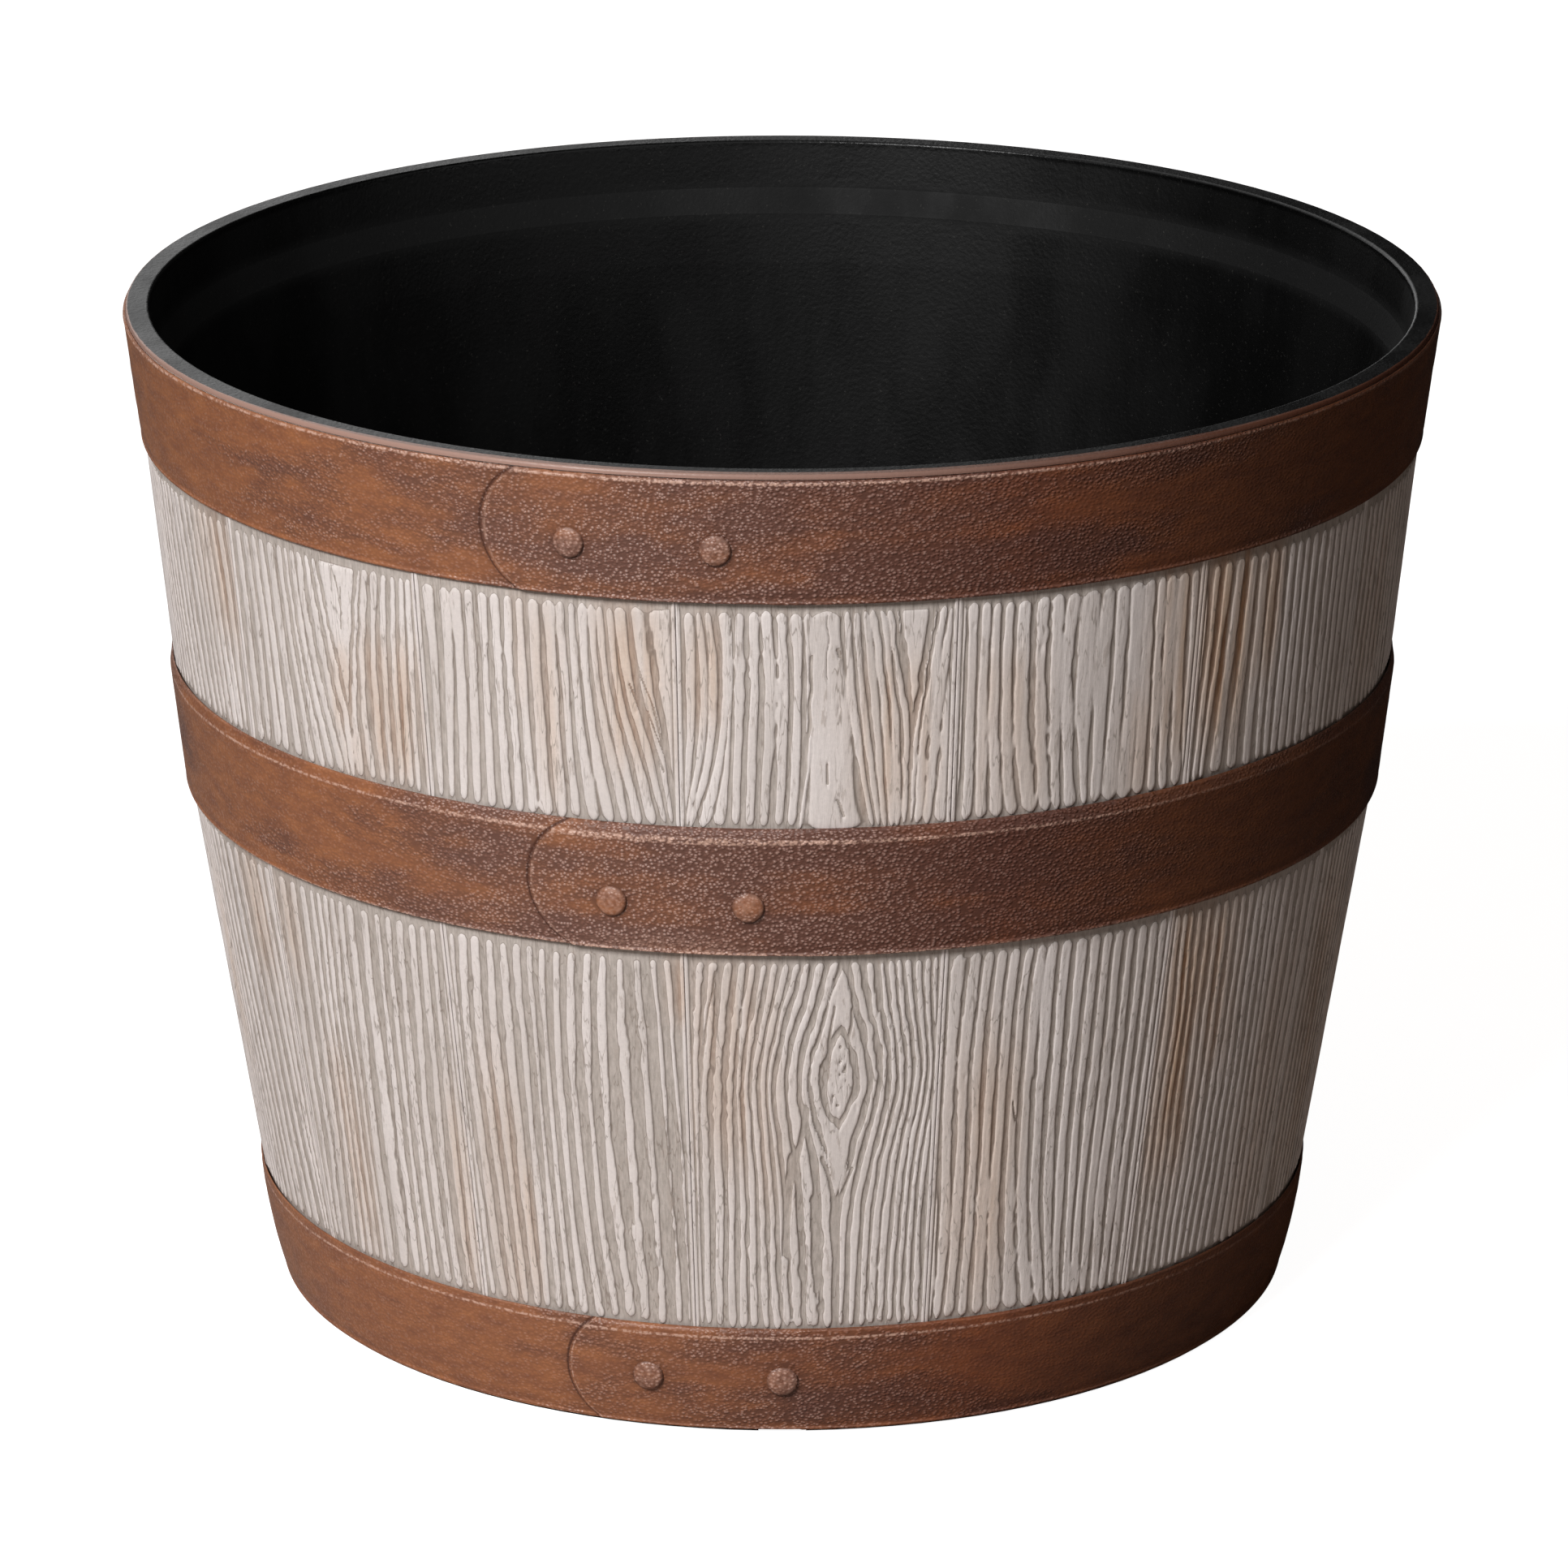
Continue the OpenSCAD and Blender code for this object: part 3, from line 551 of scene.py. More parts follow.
def whitewashed_grain():
    """Dry-brushed resin: warm white on the ridges, pale grey in the valleys, a thin darker line at
    the ridges' feet that is painted shade in the creases together with grime, tan stains that
    are browner in the valleys, fine fibres, pits and dark hairlines along the grain, and a satin
    skin. A hairline runs where a noise that is drawn out along the grain crosses its middle value."""
    material, tree, shader, where = new_material("whitewashed_grain")
    along = add(tree, "Mapping", {"Vector": where, "Scale": (1.0, 1.0, 0.12)})[0]
    drawn_out = add(tree, "Mapping", {"Vector": where, "Scale": (1.0, 1.0, 0.05)})[0]
    field, stain, tone = (add(tree, "Attribute", attribute_name=key)["Fac"]
                          for key in ("grain", "stain", "tone"))
    fibres = add(tree, "TexNoise", pattern(along, 0.8, 4.0, 0.6))[0]
    broken = add(tree, "Math", [fibres, 0.4, field], operation="MULTIPLY_ADD")[0]
    ridge = add(tree, "MapRange", [broken, 0.05, 0.42], **SOFT)[0]
    # Painted shade with grime: a thin darker line where the valleys meet the ridges' feet.
    over_valley = add(tree, "MapRange", [broken, -0.2, 0.05], **SOFT)[0]
    under_ridge = add(tree, "MapRange", [broken, 0.12, 0.32, 1.0, 0.0], **SOFT)[0]
    foot = add(tree, "Math", [over_valley, under_ridge], operation="MULTIPLY")[0]
    foot = add(tree, "MapRange", [foot, 0.0, 1.0, 0.0, 0.52], **SOFT)[0]
    pits = add(tree, "TexNoise", pattern(along, 1.6, 5.0, 0.7))[0]
    pits = add(tree, "MapRange", [pits, 0.56, 0.66, 0.0, 0.45], **SOFT)[0]
    hairline = add(tree, "TexNoise", pattern(drawn_out, 2.4))[0]
    hairline = add(tree, "Math", [hairline, 0.5], operation="SUBTRACT")[0]
    hairline = add(tree, "Math", [hairline], operation="ABSOLUTE")[0]
    hairline = add(tree, "MapRange", [hairline, 0.0, 0.022, 0.6, 0.0], **SOFT)[0]
    runs = add(tree, "TexNoise", pattern(along, 7.0))[0]
    runs = add(tree, "MapRange", [runs, 0.42, 0.56], **SOFT)[0]
    hairline = add(tree, "Math", [hairline, runs], operation="MULTIPLY")[0]
    lighter = add(tree, "MapRange", [tone, -0.8, 0.8])[0]
    whites = add(tree, "ValToRGB", [lighter], ((0.0, "#d8cfca"), (0.5, "#e6ddd9"), (1.0, "#eee6e3")))[0]
    greys = add(tree, "ValToRGB", [fibres], ((0.3, "#a89e96"), (0.7, "#cdc3bc")))[0]
    tans = add(tree, "ValToRGB", [fibres], ((0.3, "#cfae93"), (0.7, "#e2cab4")))[0]
    browns = add(tree, "ValToRGB", [fibres], ((0.3, "#93694d"), (0.7, "#b9967a")))[0]
    clean = add(tree, "Mix", {0: ridge, 6: greys, 7: whites}, **RGBA)[2]
    stained = add(tree, "Mix", {0: ridge, 6: browns, 7: tans}, **RGBA)[2]
    colour = add(tree, "Mix", {0: stain, 6: clean, 7: stained}, **RGBA)[2]
    # The line at the ridges' feet is painted shade with grime; the pits and hairlines are marks of the
    # grain.
    for share, dirt_and_shade in ((foot, "#7d7067"), (pits, "#a39489"), (hairline, "#85776c")):
        colour = add(tree, "Mix", {0: share, 6: colour, 7: dirt_and_shade}, **RGBA)[2]
    speckle = add(tree, "TexNoise", pattern(where, 1.1, 3.0, 0.65))[0]
    speckle = add(tree, "MapRange", [speckle, 0.3, 0.75, 0.95, 1.03], **SOFT)[0]
    colour = add(tree, "Mix", {0: 1.0, 6: colour, 7: speckle}, **RGBA, blend_type="MULTIPLY")[2]
    tree.links.new(colour, shader.inputs["Base Color"])
    shader.inputs["Roughness"].default_value = 0.5
    shader.inputs["Specular IOR Level"].default_value = 0.3
    raised = add(tree, "Math", [ridge, 0.6, fibres], operation="MULTIPLY_ADD")[0]
    skin = add(tree, "Bump", {"Strength": 0.4, "Distance": 0.3 * MM, "Height": raised})[0]
    tree.links.new(skin, shader.inputs["Normal"])
    return material


stave_paint = whitewashed_grain()
for number in range(1, STAVES + 1):
    board = stave(number)
    board.data.materials.append(stave_paint)
    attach(board, "planter_body")
    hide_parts(f"stave_{number:02d}")

# The hoops: three broad bands of the same resin, painted rust brown over a hammered, leathery
# grain, as old strap iron. Each is a closed ring round the staves whose one end laps over the
# other at the front left, with a rounded end, and rises a millimetre over it.
HOOP_STEP_DEG = 0.45
HOOP_ROWS = 40
BACK_ROW_STEP = 8
CORNER_ROWS = np.array([-0.6, -0.3, 0, 0.3, 0.6])
LAP_EDGE = 0.16
LAP_FIRST, LAP_STEP = 0.45, 0.72
LAP_ZONE = 24.0
LAP_RISE = 1.0
LAP_LEAD_DEG = 12.0
LAP_SPAN_DEG, LAP_FADE_DEG = 70.0, 15.0
LAP_END_R = 21.0
LAP_INSET, LAP_INSET_DEG = 0.3, 25.0
HAMMER = 0.12
BEAD_MM = 0.6
BEAD_ROWS = np.array([0, 0.25, 0.5, 0.75, 1, 1.33, 1.67, 2, 3, 4, 5, 6])
PEBBLE_WIDE_MM, PEBBLE_HIGH_MM, PEBBLE_DEPTH_MM = 1.25, 0.9, 0.26
HALO_R, HALO_SOFT = 4.4, 2.4
RIVET_DEG = {"top": (-17.8, -5.5), "middle": (-15.3, -3.0), "bottom": (-14.2, 0.0)}
# A hoop is a band, its lap's place, a seed, how much it is washed, and how pale its paint wears and how
# much painted glint it has near its lap.
HOOPS = (("top", -25.7, 31, 0.0, 0.15), ("middle", -23.2, 41, 0.55, 1.1), ("bottom", -23.2, 51, -0.9, 0.1))


def hoop_profile(node):
    """A hoop's outside away from its lap, from its lower to its upper edge: heights, radii, and
    the height of the corner under its top bevel. Rows lie about a millimetre apart, and closer
    at the corner and along the bead at the lower edge, which keeps them crisp."""
    points = cad_points(node)
    heights, radii = outer_line(points[points[:, 1] > 100])
    corner = heights[-2]
    rows = np.concatenate([np.linspace(heights[0], heights[-1], HOOP_ROWS), corner + CORNER_ROWS,
                           heights[0] + BEAD_MM * BEAD_ROWS])
    rows = np.unique(np.clip(rows, heights[0], heights[-1]).round(2))
    return rows, np.interp(rows, heights, radii), corner


def hoop_wear_and_light(band, rows, corner, mean_r, z, u, turn, washed, rub_and_glint):
    """How a hoop is marked at its points, in wear and in painted light. Lap is a dark line along
    its lap's edge, a soft band just before it and a ring round each rivet, painted shade together
    with grime; side grows from left to right; wash is a wave three times round it that is darkest
    near the front; the last value is how pale it is made by wear and by painted glints: along its
    corner, its lower edge and its lap, and near the lap, at the front left, by the amount given."""
    # Painted shade together with grime: a dark line at the lap's edge, a soft band before it, and a ring
    # round each rivet's foot.
    lap = np.exp(-(u / 0.2) ** 2) + 0.25 * smooth_step(-2.5, 0, u) * (u < 0.1)
    heads = cad_points(f"{band}_rivets")[:, 2]
    for head_deg in RIVET_DEG[band]:
        away = np.hypot(np.radians(turn - head_deg) * mean_r, z - (heads.min() + heads.max()) / 2)
        lap = np.maximum(lap, 0.4 * np.exp(-((away - HALO_R) / HALO_SOFT) ** 2))
    above = z - rows[0]
    # Painted highlights over paler paint: along the lower edge and the corner, near the lap at the front
    # left, and on the lap's edge.
    wear_and_glint = np.maximum(np.exp(-((above - 0.6) / 0.7) ** 2), 2.3 * np.exp(-((z - corner) / 0.7) ** 2))
    wear_and_glint = np.maximum(wear_and_glint, 0.5 * (1 - smooth_step(0, 14, above)))
    wear_and_glint = wear_and_glint + rub_and_glint * np.exp(-((turn + 10) / 18) ** 2)
    wear_and_glint = np.maximum(wear_and_glint, 2.0 * np.exp(-((u - 0.46) / 0.22) ** 2))
    wear_and_glint = np.maximum(wear_and_glint, 2.4 * min(1, 2.5 * rub_and_glint) * np.exp(-((above - 0.35) / 0.4) ** 2))
    return {"lap": lap, "side": np.sin(np.radians(turn - 15)),
            "wash": np.cos(np.radians(3 * (turn + 4))) + washed, "wear_and_glint": wear_and_glint}


def hoop_columns(mean_r, zone_deg):
    """Angles of a hoop's columns from its lap's tip, closer in the zone on either side of it and
    closest at its edge."""
    near = np.concatenate([np.arange(-LAP_ZONE, 0, LAP_STEP), [-LAP_EDGE, LAP_EDGE],
                           np.arange(LAP_FIRST, LAP_ZONE, LAP_STEP)])
    far = np.arange(zone_deg + HOOP_STEP_DEG, 360 - zone_deg, HOOP_STEP_DEG)
    return np.concatenate([np.degrees(near / mean_r), far])


def lap_rise(u, from_edge):
    """How far the lap stands out at angles from its tip: by its rise times the cosine of the
    angle from the point of greatest rise, fading out, and near the tip not at the very edges."""
    rise = LAP_RISE * np.cos(np.radians(np.clip(u + LAP_LEAD_DEG, 0, 90)))
    rise = rise * (u > 0) * (1 - smooth_step(LAP_SPAN_DEG - LAP_FADE_DEG, LAP_SPAN_DEG, u))
    return np.where((from_edge < LAP_INSET) & (u < LAP_INSET_DEG), 0, rise)


def ring_quads(count, columns):
    """Quads of a grid of points that closes on itself both ways."""
    number = np.arange(count * columns).reshape(count, columns)
    number = np.concatenate([number, number[:1]])
    number = np.concatenate([number, number[:, :1]], axis=1)
    quads = np.stack([number[:-1, :-1], number[:-1, 1:], number[1:, 1:], number[1:, :-1]], axis=-1)
    return quads.reshape(-1, 4)


def hoop(band, lap_deg, seed, washed, rub_and_glint):
    """A closed ring of rows round a four-sided section, with fewer rows inside than outside. Its
    columns bend near the lap to follow the lap's round end, r - sqrt(r^2 - h^2) back from the
    tip at a height h from the middle, so that the step there is crisp. Its face is dented, and
    its lower edge is rounded, with a low bead along it."""
    rows, radii, corner = hoop_profile(f"{band}_hoop")
    middle, half = (rows[0] + rows[-1]) / 2, (rows[-1] - rows[0]) / 2
    mean_r = radii.mean()
    zone_deg = np.degrees(LAP_ZONE / mean_r)
    z, u = np.meshgrid(rows, hoop_columns(mean_r, zone_deg), indexing="ij")
    off = np.minimum(abs(z - middle), half - LAP_INSET)
    setback = np.degrees((LAP_END_R - np.sqrt(LAP_END_R ** 2 - off ** 2)) / mean_r)
    follow = np.where(abs(u) < zone_deg, 1 - smooth_step(0.45, 1.0, abs(u) / zone_deg), 0)
    turn = lap_deg + u + setback * follow
    above = z - rows[0]
    from_edge = np.minimum(above, rows[-1] - z)
    x = np.radians(turn) * mean_r
    dents = wander(x / 9, z / 7, seed) * 0.6 + wander(x / 3.5, z / 3, seed + 1) * 0.4
    hammered = HAMMER * (1 + dents) * smooth_step(0, 1.5, from_edge)
    face = radii[:, None] + lap_rise(u, from_edge) - hammered
    up = above / BEAD_MM
    rounded = 0.5 * np.clip(1 - up, 0, 1) ** 2
    groove = 0.4 * smooth_step(1, 2, up) * (1 - smooth_step(2, 7, up))
    outer = around(face - BEAD_MM * (rounded + groove), turn, z)
    back = np.arange(len(rows) - 1, -1, -BACK_ROW_STEP)
    back[-1] = 0
    inner = around(np.interp(z[back], LINE_Z, LINE_R) + 0.2, turn[back], z[back])
    points = np.concatenate([outer, inner])
    smooth = np.zeros(points.shape[:2], bool)
    smooth[:len(rows) - 1] = True
    marks_and_light = hoop_wear_and_light(band, rows, corner, mean_r, z, u, turn, washed, rub_and_glint)
    values = {key: np.concatenate([value, value[back]]).ravel() for key, value in marks_and_light.items()}
    quads = ring_quads(*points.shape[:2]).tolist()
    name = f"{band}_hoop_hammered"
    return new_piece(name, points.reshape(-1, 3), quads, smooth.ravel(), values)


def rust_brown_paint(name, pebble_depth):
    """Satin rust-brown paint on leathery resin: orange brown and smooth where it is thin, washed
    with dark purplish brown in streaks that run round the hoop, darker along the lap's edge and
    between the pebbles as painted shade with grime, pale pebble tips and lines with painted
    glints, most of all along the corners and on the left, and darkened to the right by painted
    shade."""
    material, tree, shader, where = new_material(name)
    side, lap, gathered, wear_and_glint = (add(tree, "Attribute", attribute_name=key)["Fac"]
                                 for key in ("side", "lap", "wash", "wear_and_glint"))
    streaky = add(tree, "Mapping", {"Vector": where, "Scale": (0.5, 0.5, 1.6)})[0]
    streaks = add(tree, "TexNoise", pattern(streaky, 26.0, 5.0, 0.55))[0]
    mottle = add(tree, "TexNoise", pattern(streaky, 6.0, 4.0, 0.6))[0]
    per_pebble = (1 / PEBBLE_WIDE_MM, 1 / PEBBLE_WIDE_MM, 1 / PEBBLE_HIGH_MM)
    leather = add(tree, "Mapping", {"Vector": where, "Scale": per_pebble})[0]
    pebbles = add(tree, "TexVoronoi", {"Vector": leather, "Scale": 1 / MM})["Distance"]
    colour = add(tree, "ValToRGB", [mottle], ((0.3, "#8b5840"), (0.5, "#9b6344"), (0.72, "#ab6e48")))[0]
    wash = add(tree, "Math", [gathered, 0.12, streaks], operation="MULTIPLY_ADD")[0]
    washed = add(tree, "MapRange", [wash, 0.4, 0.7, 0.0, 0.95], **SOFT)[0]
    colour = add(tree, "Mix", {0: washed, 6: colour, 7: "#785247"}, **RGBA)[2]
    # Painted shade: the paint is darkened from left to right round the hoop, as the light falls.
    shade_to_right = add(tree, "MapRange", [side, -0.7, 0.6], **SOFT)[0]
    shade = add(tree, "ValToRGB", [shade_to_right], ((0.0, "#f8f8f4"), (0.66, "#cbb6ab"), (1.0, "#a0978e")))[0]
    colour = add(tree, "Mix", {0: 1.0, 6: colour, 7: shade}, **RGBA, blend_type="MULTIPLY")[2]
    pebbly = add(tree, "MapRange", [wash, 0.4, 0.58, 0.4, 1.0], **SOFT)[0]
    # Painted shade in the hollows between the pebbles, together with grime.
    pits = add(tree, "MapRange", [pebbles, 0.45, 0.75, 0.0, 0.32], **SOFT)[0]
    pits = add(tree, "Math", [pits, pebbly], operation="MULTIPLY")[0]
    colour = add(tree, "Mix", {0: pits, 6: colour, 7: "#3a241c"}, **RGBA)[2]
    # Painted highlights: pale tips on the pebbles where the paint wears, kept to the left, where the light
    # falls.
    rub_and_glint = add(tree, "TexNoise", pattern(where, 2.4))[0]
    rub_and_glint = add(tree, "Math", [wear_and_glint, 0.35, rub_and_glint], operation="MULTIPLY_ADD")[0]
    rub_and_glint = add(tree, "MapRange", [rub_and_glint, 0.36, 0.66], **SOFT)[0]
    lit_side = add(tree, "MapRange", [side, -0.25, 0.3, 0.4, 0.05], **SOFT)[0]
    tips = add(tree, "MapRange", [pebbles, 0.18, 0.47, 1.0, 0.0], **SOFT)[0]
    for share in (rub_and_glint, lit_side, pebbly):
        tips = add(tree, "Math", [tips, share], operation="MULTIPLY")[0]
    colour = add(tree, "Mix", {0: tips, 6: colour, 7: "#d9b4a7"}, **RGBA)[2]
    # A painted highlight line, broken up, along the corners, the lower edge and the lap's edge, stronger on
    # the left.
    lit_side = add(tree, "MapRange", [side, -0.2, 0.6, 0.75, 0.15], **SOFT)[0]
    broken = add(tree, "TexNoise", pattern(where, 1.2))[0]
    broken = add(tree, "MapRange", [broken, 0.4, 0.58, 0.1, 1.0], **SOFT)[0]
    line = add(tree, "MapRange", [wear_and_glint, 1.2, 2.2], **SOFT)[0]
    for share in (lit_side, broken):
        line = add(tree, "Math", [line, share], operation="MULTIPLY")[0]
    colour = add(tree, "Mix", {0: line, 6: colour, 7: "#d8b09d"}, **RGBA)[2]
    # Painted shade together with grime: the dark lap line, the soft band before it and the rings round the
    # rivets.
    dirt_and_shade = add(tree, "MapRange", [lap, 0.0, 1.0, 0.0, 0.9], **SOFT)[0]
    colour = add(tree, "Mix", {0: dirt_and_shade, 6: colour, 7: "#4a2617"}, **RGBA)[2]
    tree.links.new(colour, shader.inputs["Base Color"])
    dome = add(tree, "MapRange", [pebbles, 0.05, 0.75, 1.0, 0.0], **SOFT)[0]
    sheen = add(tree, "MapRange", [dome, 0.0, 0.8, 0.5, 0.36], **SOFT)[0]
    tree.links.new(sheen, shader.inputs["Roughness"])
    skin = add(tree, "Bump", {"Strength": pebbly, "Distance": pebble_depth * MM, "Height": dome})[0]
    tree.links.new(skin, shader.inputs["Normal"])
    return material


hoop_paint = rust_brown_paint("rust_brown_paint", PEBBLE_DEPTH_MM)
for band, *how in HOOPS:
    ring = hoop(band, *how)
    ring.data.materials.append(hoop_paint)
    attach(ring, "planter_body")
    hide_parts(f"{band}_hoop")

# The rivets: six low domed heads of the same resin, two through each lap, painted with the
# hoops. They are soft edged and a little uneven, and darker round their feet, painted shade
# together with grime.
HEAD_R = 4.6
HEAD_RISE = 1.1
HEAD_SUNK = 0.6
HEAD_RINGS = 16
HEAD_SIDES = 48
# How the heads are painted: darker at their feet, painted shade with grime; placed as if on the lit left,
# so that they take the lighter painted shade and painted glints; washed; and pale with painted glints.
HEAD_DIRT_AND_SHADE, HEAD_SIDE, HEAD_WASH, HEAD_WEAR_AND_GLINT = 0.6, -0.45, 0.7, 1.5


def dome_faces(first):
    """Faces of a dome whose points are numbered from first: rings from its foot up, a fan to the
    centre point on top, and a flat below."""
    here = np.arange(HEAD_SIDES)
    turned = (here + 1) % HEAD_SIDES
    faces = []
    for row in range(HEAD_RINGS - 1):
        below = first + row * HEAD_SIDES
        above = below + HEAD_SIDES
        faces += np.stack([below + here, below + turned, above + turned, above + here], 1).tolist()
    last = first + (HEAD_RINGS - 1) * HEAD_SIDES
    faces += [[last + i, last + j, last + HEAD_SIDES] for i, j in zip(here, turned)]
    return faces + [(first + here[::-1]).tolist()]


def rivet_heads(band, seed):
    """Two domes, each a sunk foot ring, rings up a curve that is flat on top and rounds over at
    the side as (1 - t^2.4)^0.6, and a centre point, closed by a flat below."""
    points = cad_points(f"{band}_rivets")
    all_points, faces, dirt_and_shade = [], [], []
    for place, turn in enumerate(RIVET_DEG[band]):
        outward = around(1.0, turn, 0.0)
        across = around(1.0, turn + 90, 0.0)
        mine = points[abs(points @ across) < 8]
        tip, level = (mine @ outward).max(), (mine[:, 2].min() + mine[:, 2].max()) / 2
        ring = np.linspace(0, 1, HEAD_RINGS)[:0:-1]
        side = np.arange(HEAD_SIDES) / HEAD_SIDES * 2 * np.pi
        share, angle = np.meshgrid(ring, side, indexing="ij")
        uneven = wander(share * 4 * np.cos(angle) + 9, share * 4 * np.sin(angle) + 9, seed + place)
        reach = HEAD_R * share
        rise = HEAD_RISE * (1 - share ** 2.4) ** 0.6 + 0.14 * uneven * (1 - share)
        rise = np.concatenate([np.full((1, HEAD_SIDES), -HEAD_SUNK), rise])
        reach, angle = np.concatenate([reach[:1], reach]), np.concatenate([angle[:1], angle])
        grid = (tip - HEAD_RISE + rise)[..., None] * outward + (reach * np.cos(angle))[..., None] * across
        grid = grid + (level + reach * np.sin(angle))[..., None] * np.array([0, 0, 1.0])
        centre = tip * outward + np.array([0, 0, level])
        faces += dome_faces(sum(len(p) for p in all_points))
        all_points += [grid.reshape(-1, 3), centre[None]]
        # Painted shade with grime: darkest at the sunk foot ring and rising towards the dome's edge.
        dirt_and_shade += [np.concatenate([np.full(HEAD_SIDES, 1.0), smooth_step(0.72, 1.0, share).ravel(), [0.0]])]
    dirt_and_shade = np.concatenate(dirt_and_shade)
    values = {"lap": HEAD_DIRT_AND_SHADE * dirt_and_shade, "side": 0 * dirt_and_shade + HEAD_SIDE,
              "wash": 0 * dirt_and_shade + HEAD_WASH, "wear_and_glint": 0 * dirt_and_shade + HEAD_WEAR_AND_GLINT}
    smooth = np.ones(len(faces), bool)
    return new_piece(f"{band}_rivet_heads", np.concatenate(all_points), faces, smooth, values)


head_paint = rust_brown_paint("rust_brown_paint_on_rivets", 0.5 * PEBBLE_DEPTH_MM)
for band, seed in (("top", 61), ("middle", 71), ("bottom", 81)):
    heads = rivet_heads(band, seed)
    heads.data.materials.append(head_paint)
    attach(heads, "planter_body")
    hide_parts(f"{band}_rivets")

# The studio: a pale sweep of floor that shows white behind the planter and keeps its soft
# shadow, one large soft lamp at the front left, a weak warm light from all round, and a glow in
# gloss alone, from the white sweep at the left and from the front right.
KEY_TURN_DEG, KEY_RISE_DEG = -32.0, 34.0
KEY_AWAY, KEY_WIDE, KEY_HIGH = 3.2, 1.6, 0.9
KEY_AIM_UP = 0.15
KEY_POWER = 97.0
FILL, GLOSS_FILL = 0.07, 0.02
FILL_WARMTH = "#ffeadb"
FRONT_GLOSS = 1.0
SWEEP_LEFT, SWEEP_RIGHT = (-1.0, -0.5), (-0.12, 0.06)
SWEEP_AWAY = (1.5, 3.0)
FLOOR_DROP_MM = 0.2
FLOOR_GLOW, FLOOR_LIT = 0.95, 0.8
MAT_AT, MAT_REACH = (-0.05, -0.45, 0), (0.25, 0.7)
MAT_GREY, MAT_PALE, MAT_GLOSS, MAT_DARK = "#756c66", "#c2b9b3", "#a8a8a8", "#303030"
LENS_MM, SENSOR_MM = 188.65, 36.0
CAMERA_AT = (0.0, -2.3883, 0.94185)
CAMERA_DOWN_DEG, CAMERA_RIGHT_DEG = 18.356, 0.013


def seen_directly(tree, in_gloss):
    """1 for rays from the camera and through glass, and in_gloss for rays in gloss."""
    path = add(tree, "LightPath")
    indirect = add(tree, "Math", [path["Is Glossy Ray"], in_gloss, path["Is Transmission Ray"]],
                   operation="MULTIPLY_ADD", use_clamp=True)[0]
    return add(tree, "Math", [path["Is Camera Ray"], indirect], operation="ADD", use_clamp=True)[0]


def on_sweep(tree, place):
    """1 where a place's X is on the white sweep, and 0 to either side. The sweep is a strip that
    ends just left of the middle, with a dark room to its right and far to its left."""
    across = add(tree, "SeparateXYZ", [place])["X"]
    left_of_end = add(tree, "MapRange", [across, *SWEEP_RIGHT, 1.0, 0.0], **SOFT)[0]
    right_of_start = add(tree, "MapRange", [across, *SWEEP_LEFT], **SOFT)[0]
    return add(tree, "Math", [left_of_end, right_of_start], operation="MULTIPLY")[0]


def pale_floor():
    """A white floor where it is seen directly, most of it glow and the rest lit, so that it keeps
    a faint shadow. In gloss it is white further off, pale at the left and dark at the right. To
    other rays it is a grey mat, with a paler one in front that lifts the shade under the hoops."""
    material, tree, shader, where = new_material("pale_studio_floor")
    in_front = add(tree, "VectorMath", [where, MAT_AT], operation="DISTANCE")["Value"]
    in_front = add(tree, "MapRange", [in_front, *MAT_REACH, 1.0, 0.0], **SOFT)[0]
    lit_mat = add(tree, "Mix", {0: in_front, 6: MAT_GREY, 7: MAT_PALE}, **RGBA)[2]
    seen_mat = add(tree, "ValToRGB", [on_sweep(tree, where)], ((0.0, MAT_DARK), (1.0, MAT_GLOSS)))[0]
    in_gloss = add(tree, "LightPath")["Is Glossy Ray"]
    mat = add(tree, "Mix", {0: in_gloss, 6: lit_mat, 7: seen_mat}, **RGBA)[2]
    dull = add(tree, "BsdfDiffuse", {"Color": mat})[0]
    lit = add(tree, "BsdfDiffuse", {"Color": (FLOOR_LIT, FLOOR_LIT, FLOOR_LIT, 1)})[0]
    glow = add(tree, "Emission", {"Color": (1, 1, 1, 1), "Strength": FLOOR_GLOW})[0]
    shown = add(tree, "AddShader", [lit, glow])[0]
    away = add(tree, "VectorMath", [where], operation="LENGTH")["Value"]
    away = add(tree, "MapRange", [away, *SWEEP_AWAY], **SOFT)[0]
    white = add(tree, "Math", [on_sweep(tree, where), away], operation="MULTIPLY")[0]
    both = add(tree, "MixShader", [seen_directly(tree, white), dull, shown])[0]
    tree.nodes.remove(shader)
    tree.links.new(both, tree.nodes["Material Output"].inputs["Surface"])
    return material


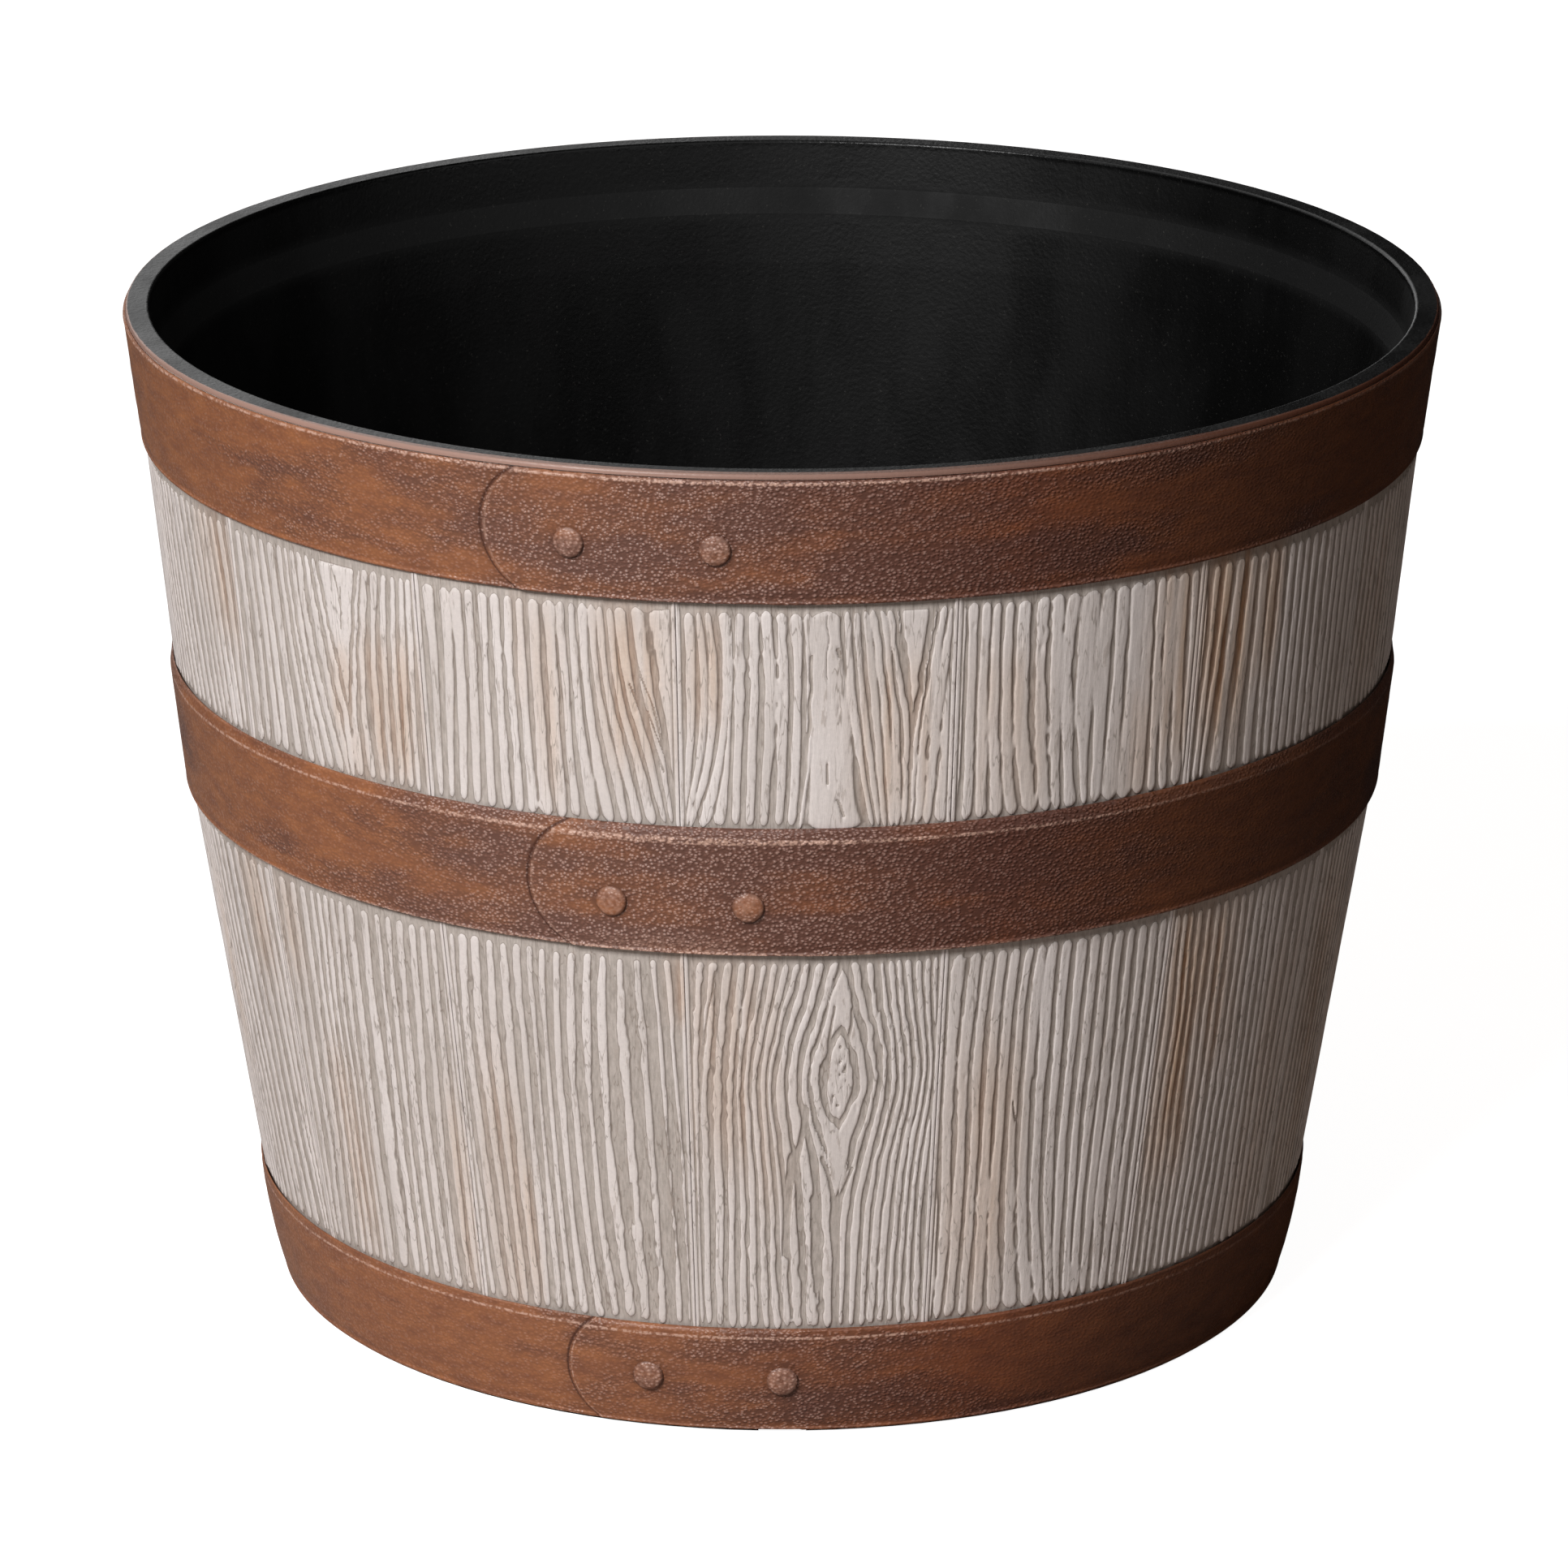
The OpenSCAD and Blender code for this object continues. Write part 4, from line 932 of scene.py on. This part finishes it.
bpy.ops.mesh.primitive_plane_add(size=30, location=(0, 0, -FLOOR_DROP_MM * MM))
floor = bpy.context.object
floor.name = "floor"
floor.data.materials.append(pale_floor())

scene = bpy.context.scene
scene.world = bpy.data.worlds.new("studio_air")
scene.world.use_nodes = True
air = scene.world.node_tree
toward = add(air, "TexCoord")["Generated"]
in_gloss = add(air, "LightPath")["Is Glossy Ray"]
dim = add(air, "MapRange", [in_gloss, 0.0, 1.0, FILL, GLOSS_FILL])[0]
axes = add(air, "SeparateXYZ", [toward])
front = add(air, "MapRange", [axes["Y"], -0.7, 0.2, FRONT_GLOSS, 0.0], **SOFT)[0]
right = add(air, "MapRange", [axes["X"], -0.3, 0.1], **SOFT)[0]
front_right = add(air, "Math", [front, right], operation="MULTIPLY")[0]
glossy = add(air, "Math", [front_right, on_sweep(air, toward)], operation="MAXIMUM")[0]
strength = add(air, "Math", [dim, seen_directly(air, glossy)], operation="MAXIMUM")[0]
tint = add(air, "Mix", {0: seen_directly(air, 1.0), 6: FILL_WARMTH, 7: "#ffffff"}, **RGBA)[2]
air.links.new(tint, air.nodes["Background"].inputs["Color"])
air.links.new(strength, air.nodes["Background"].inputs["Strength"])

key_data = bpy.data.lights.new("key_softbox", "AREA")
key_data.shape, key_data.size, key_data.size_y = "ELLIPSE", KEY_WIDE, KEY_HIGH
key_data.energy = KEY_POWER
key = bpy.data.objects.new("key_softbox", key_data)
scene.collection.objects.link(key)
turn, rise = math.radians(KEY_TURN_DEG), math.radians(KEY_RISE_DEG)
level = KEY_AWAY * math.cos(rise)
key.location = (level * math.sin(turn), -level * math.cos(turn), KEY_AWAY * math.sin(rise) + KEY_AIM_UP)
key.rotation_euler = (math.pi / 2 - rise, 0, turn)

camera_data = bpy.data.cameras.new("camera")
camera_data.lens, camera_data.sensor_width = LENS_MM, SENSOR_MM
camera = bpy.data.objects.new("camera", camera_data)
camera.location = CAMERA_AT
camera.rotation_euler = (math.radians(90 - CAMERA_DOWN_DEG), 0, math.radians(-CAMERA_RIGHT_DEG))
scene.collection.objects.link(camera)
scene.camera = camera
scene.view_settings.view_transform = "Standard"
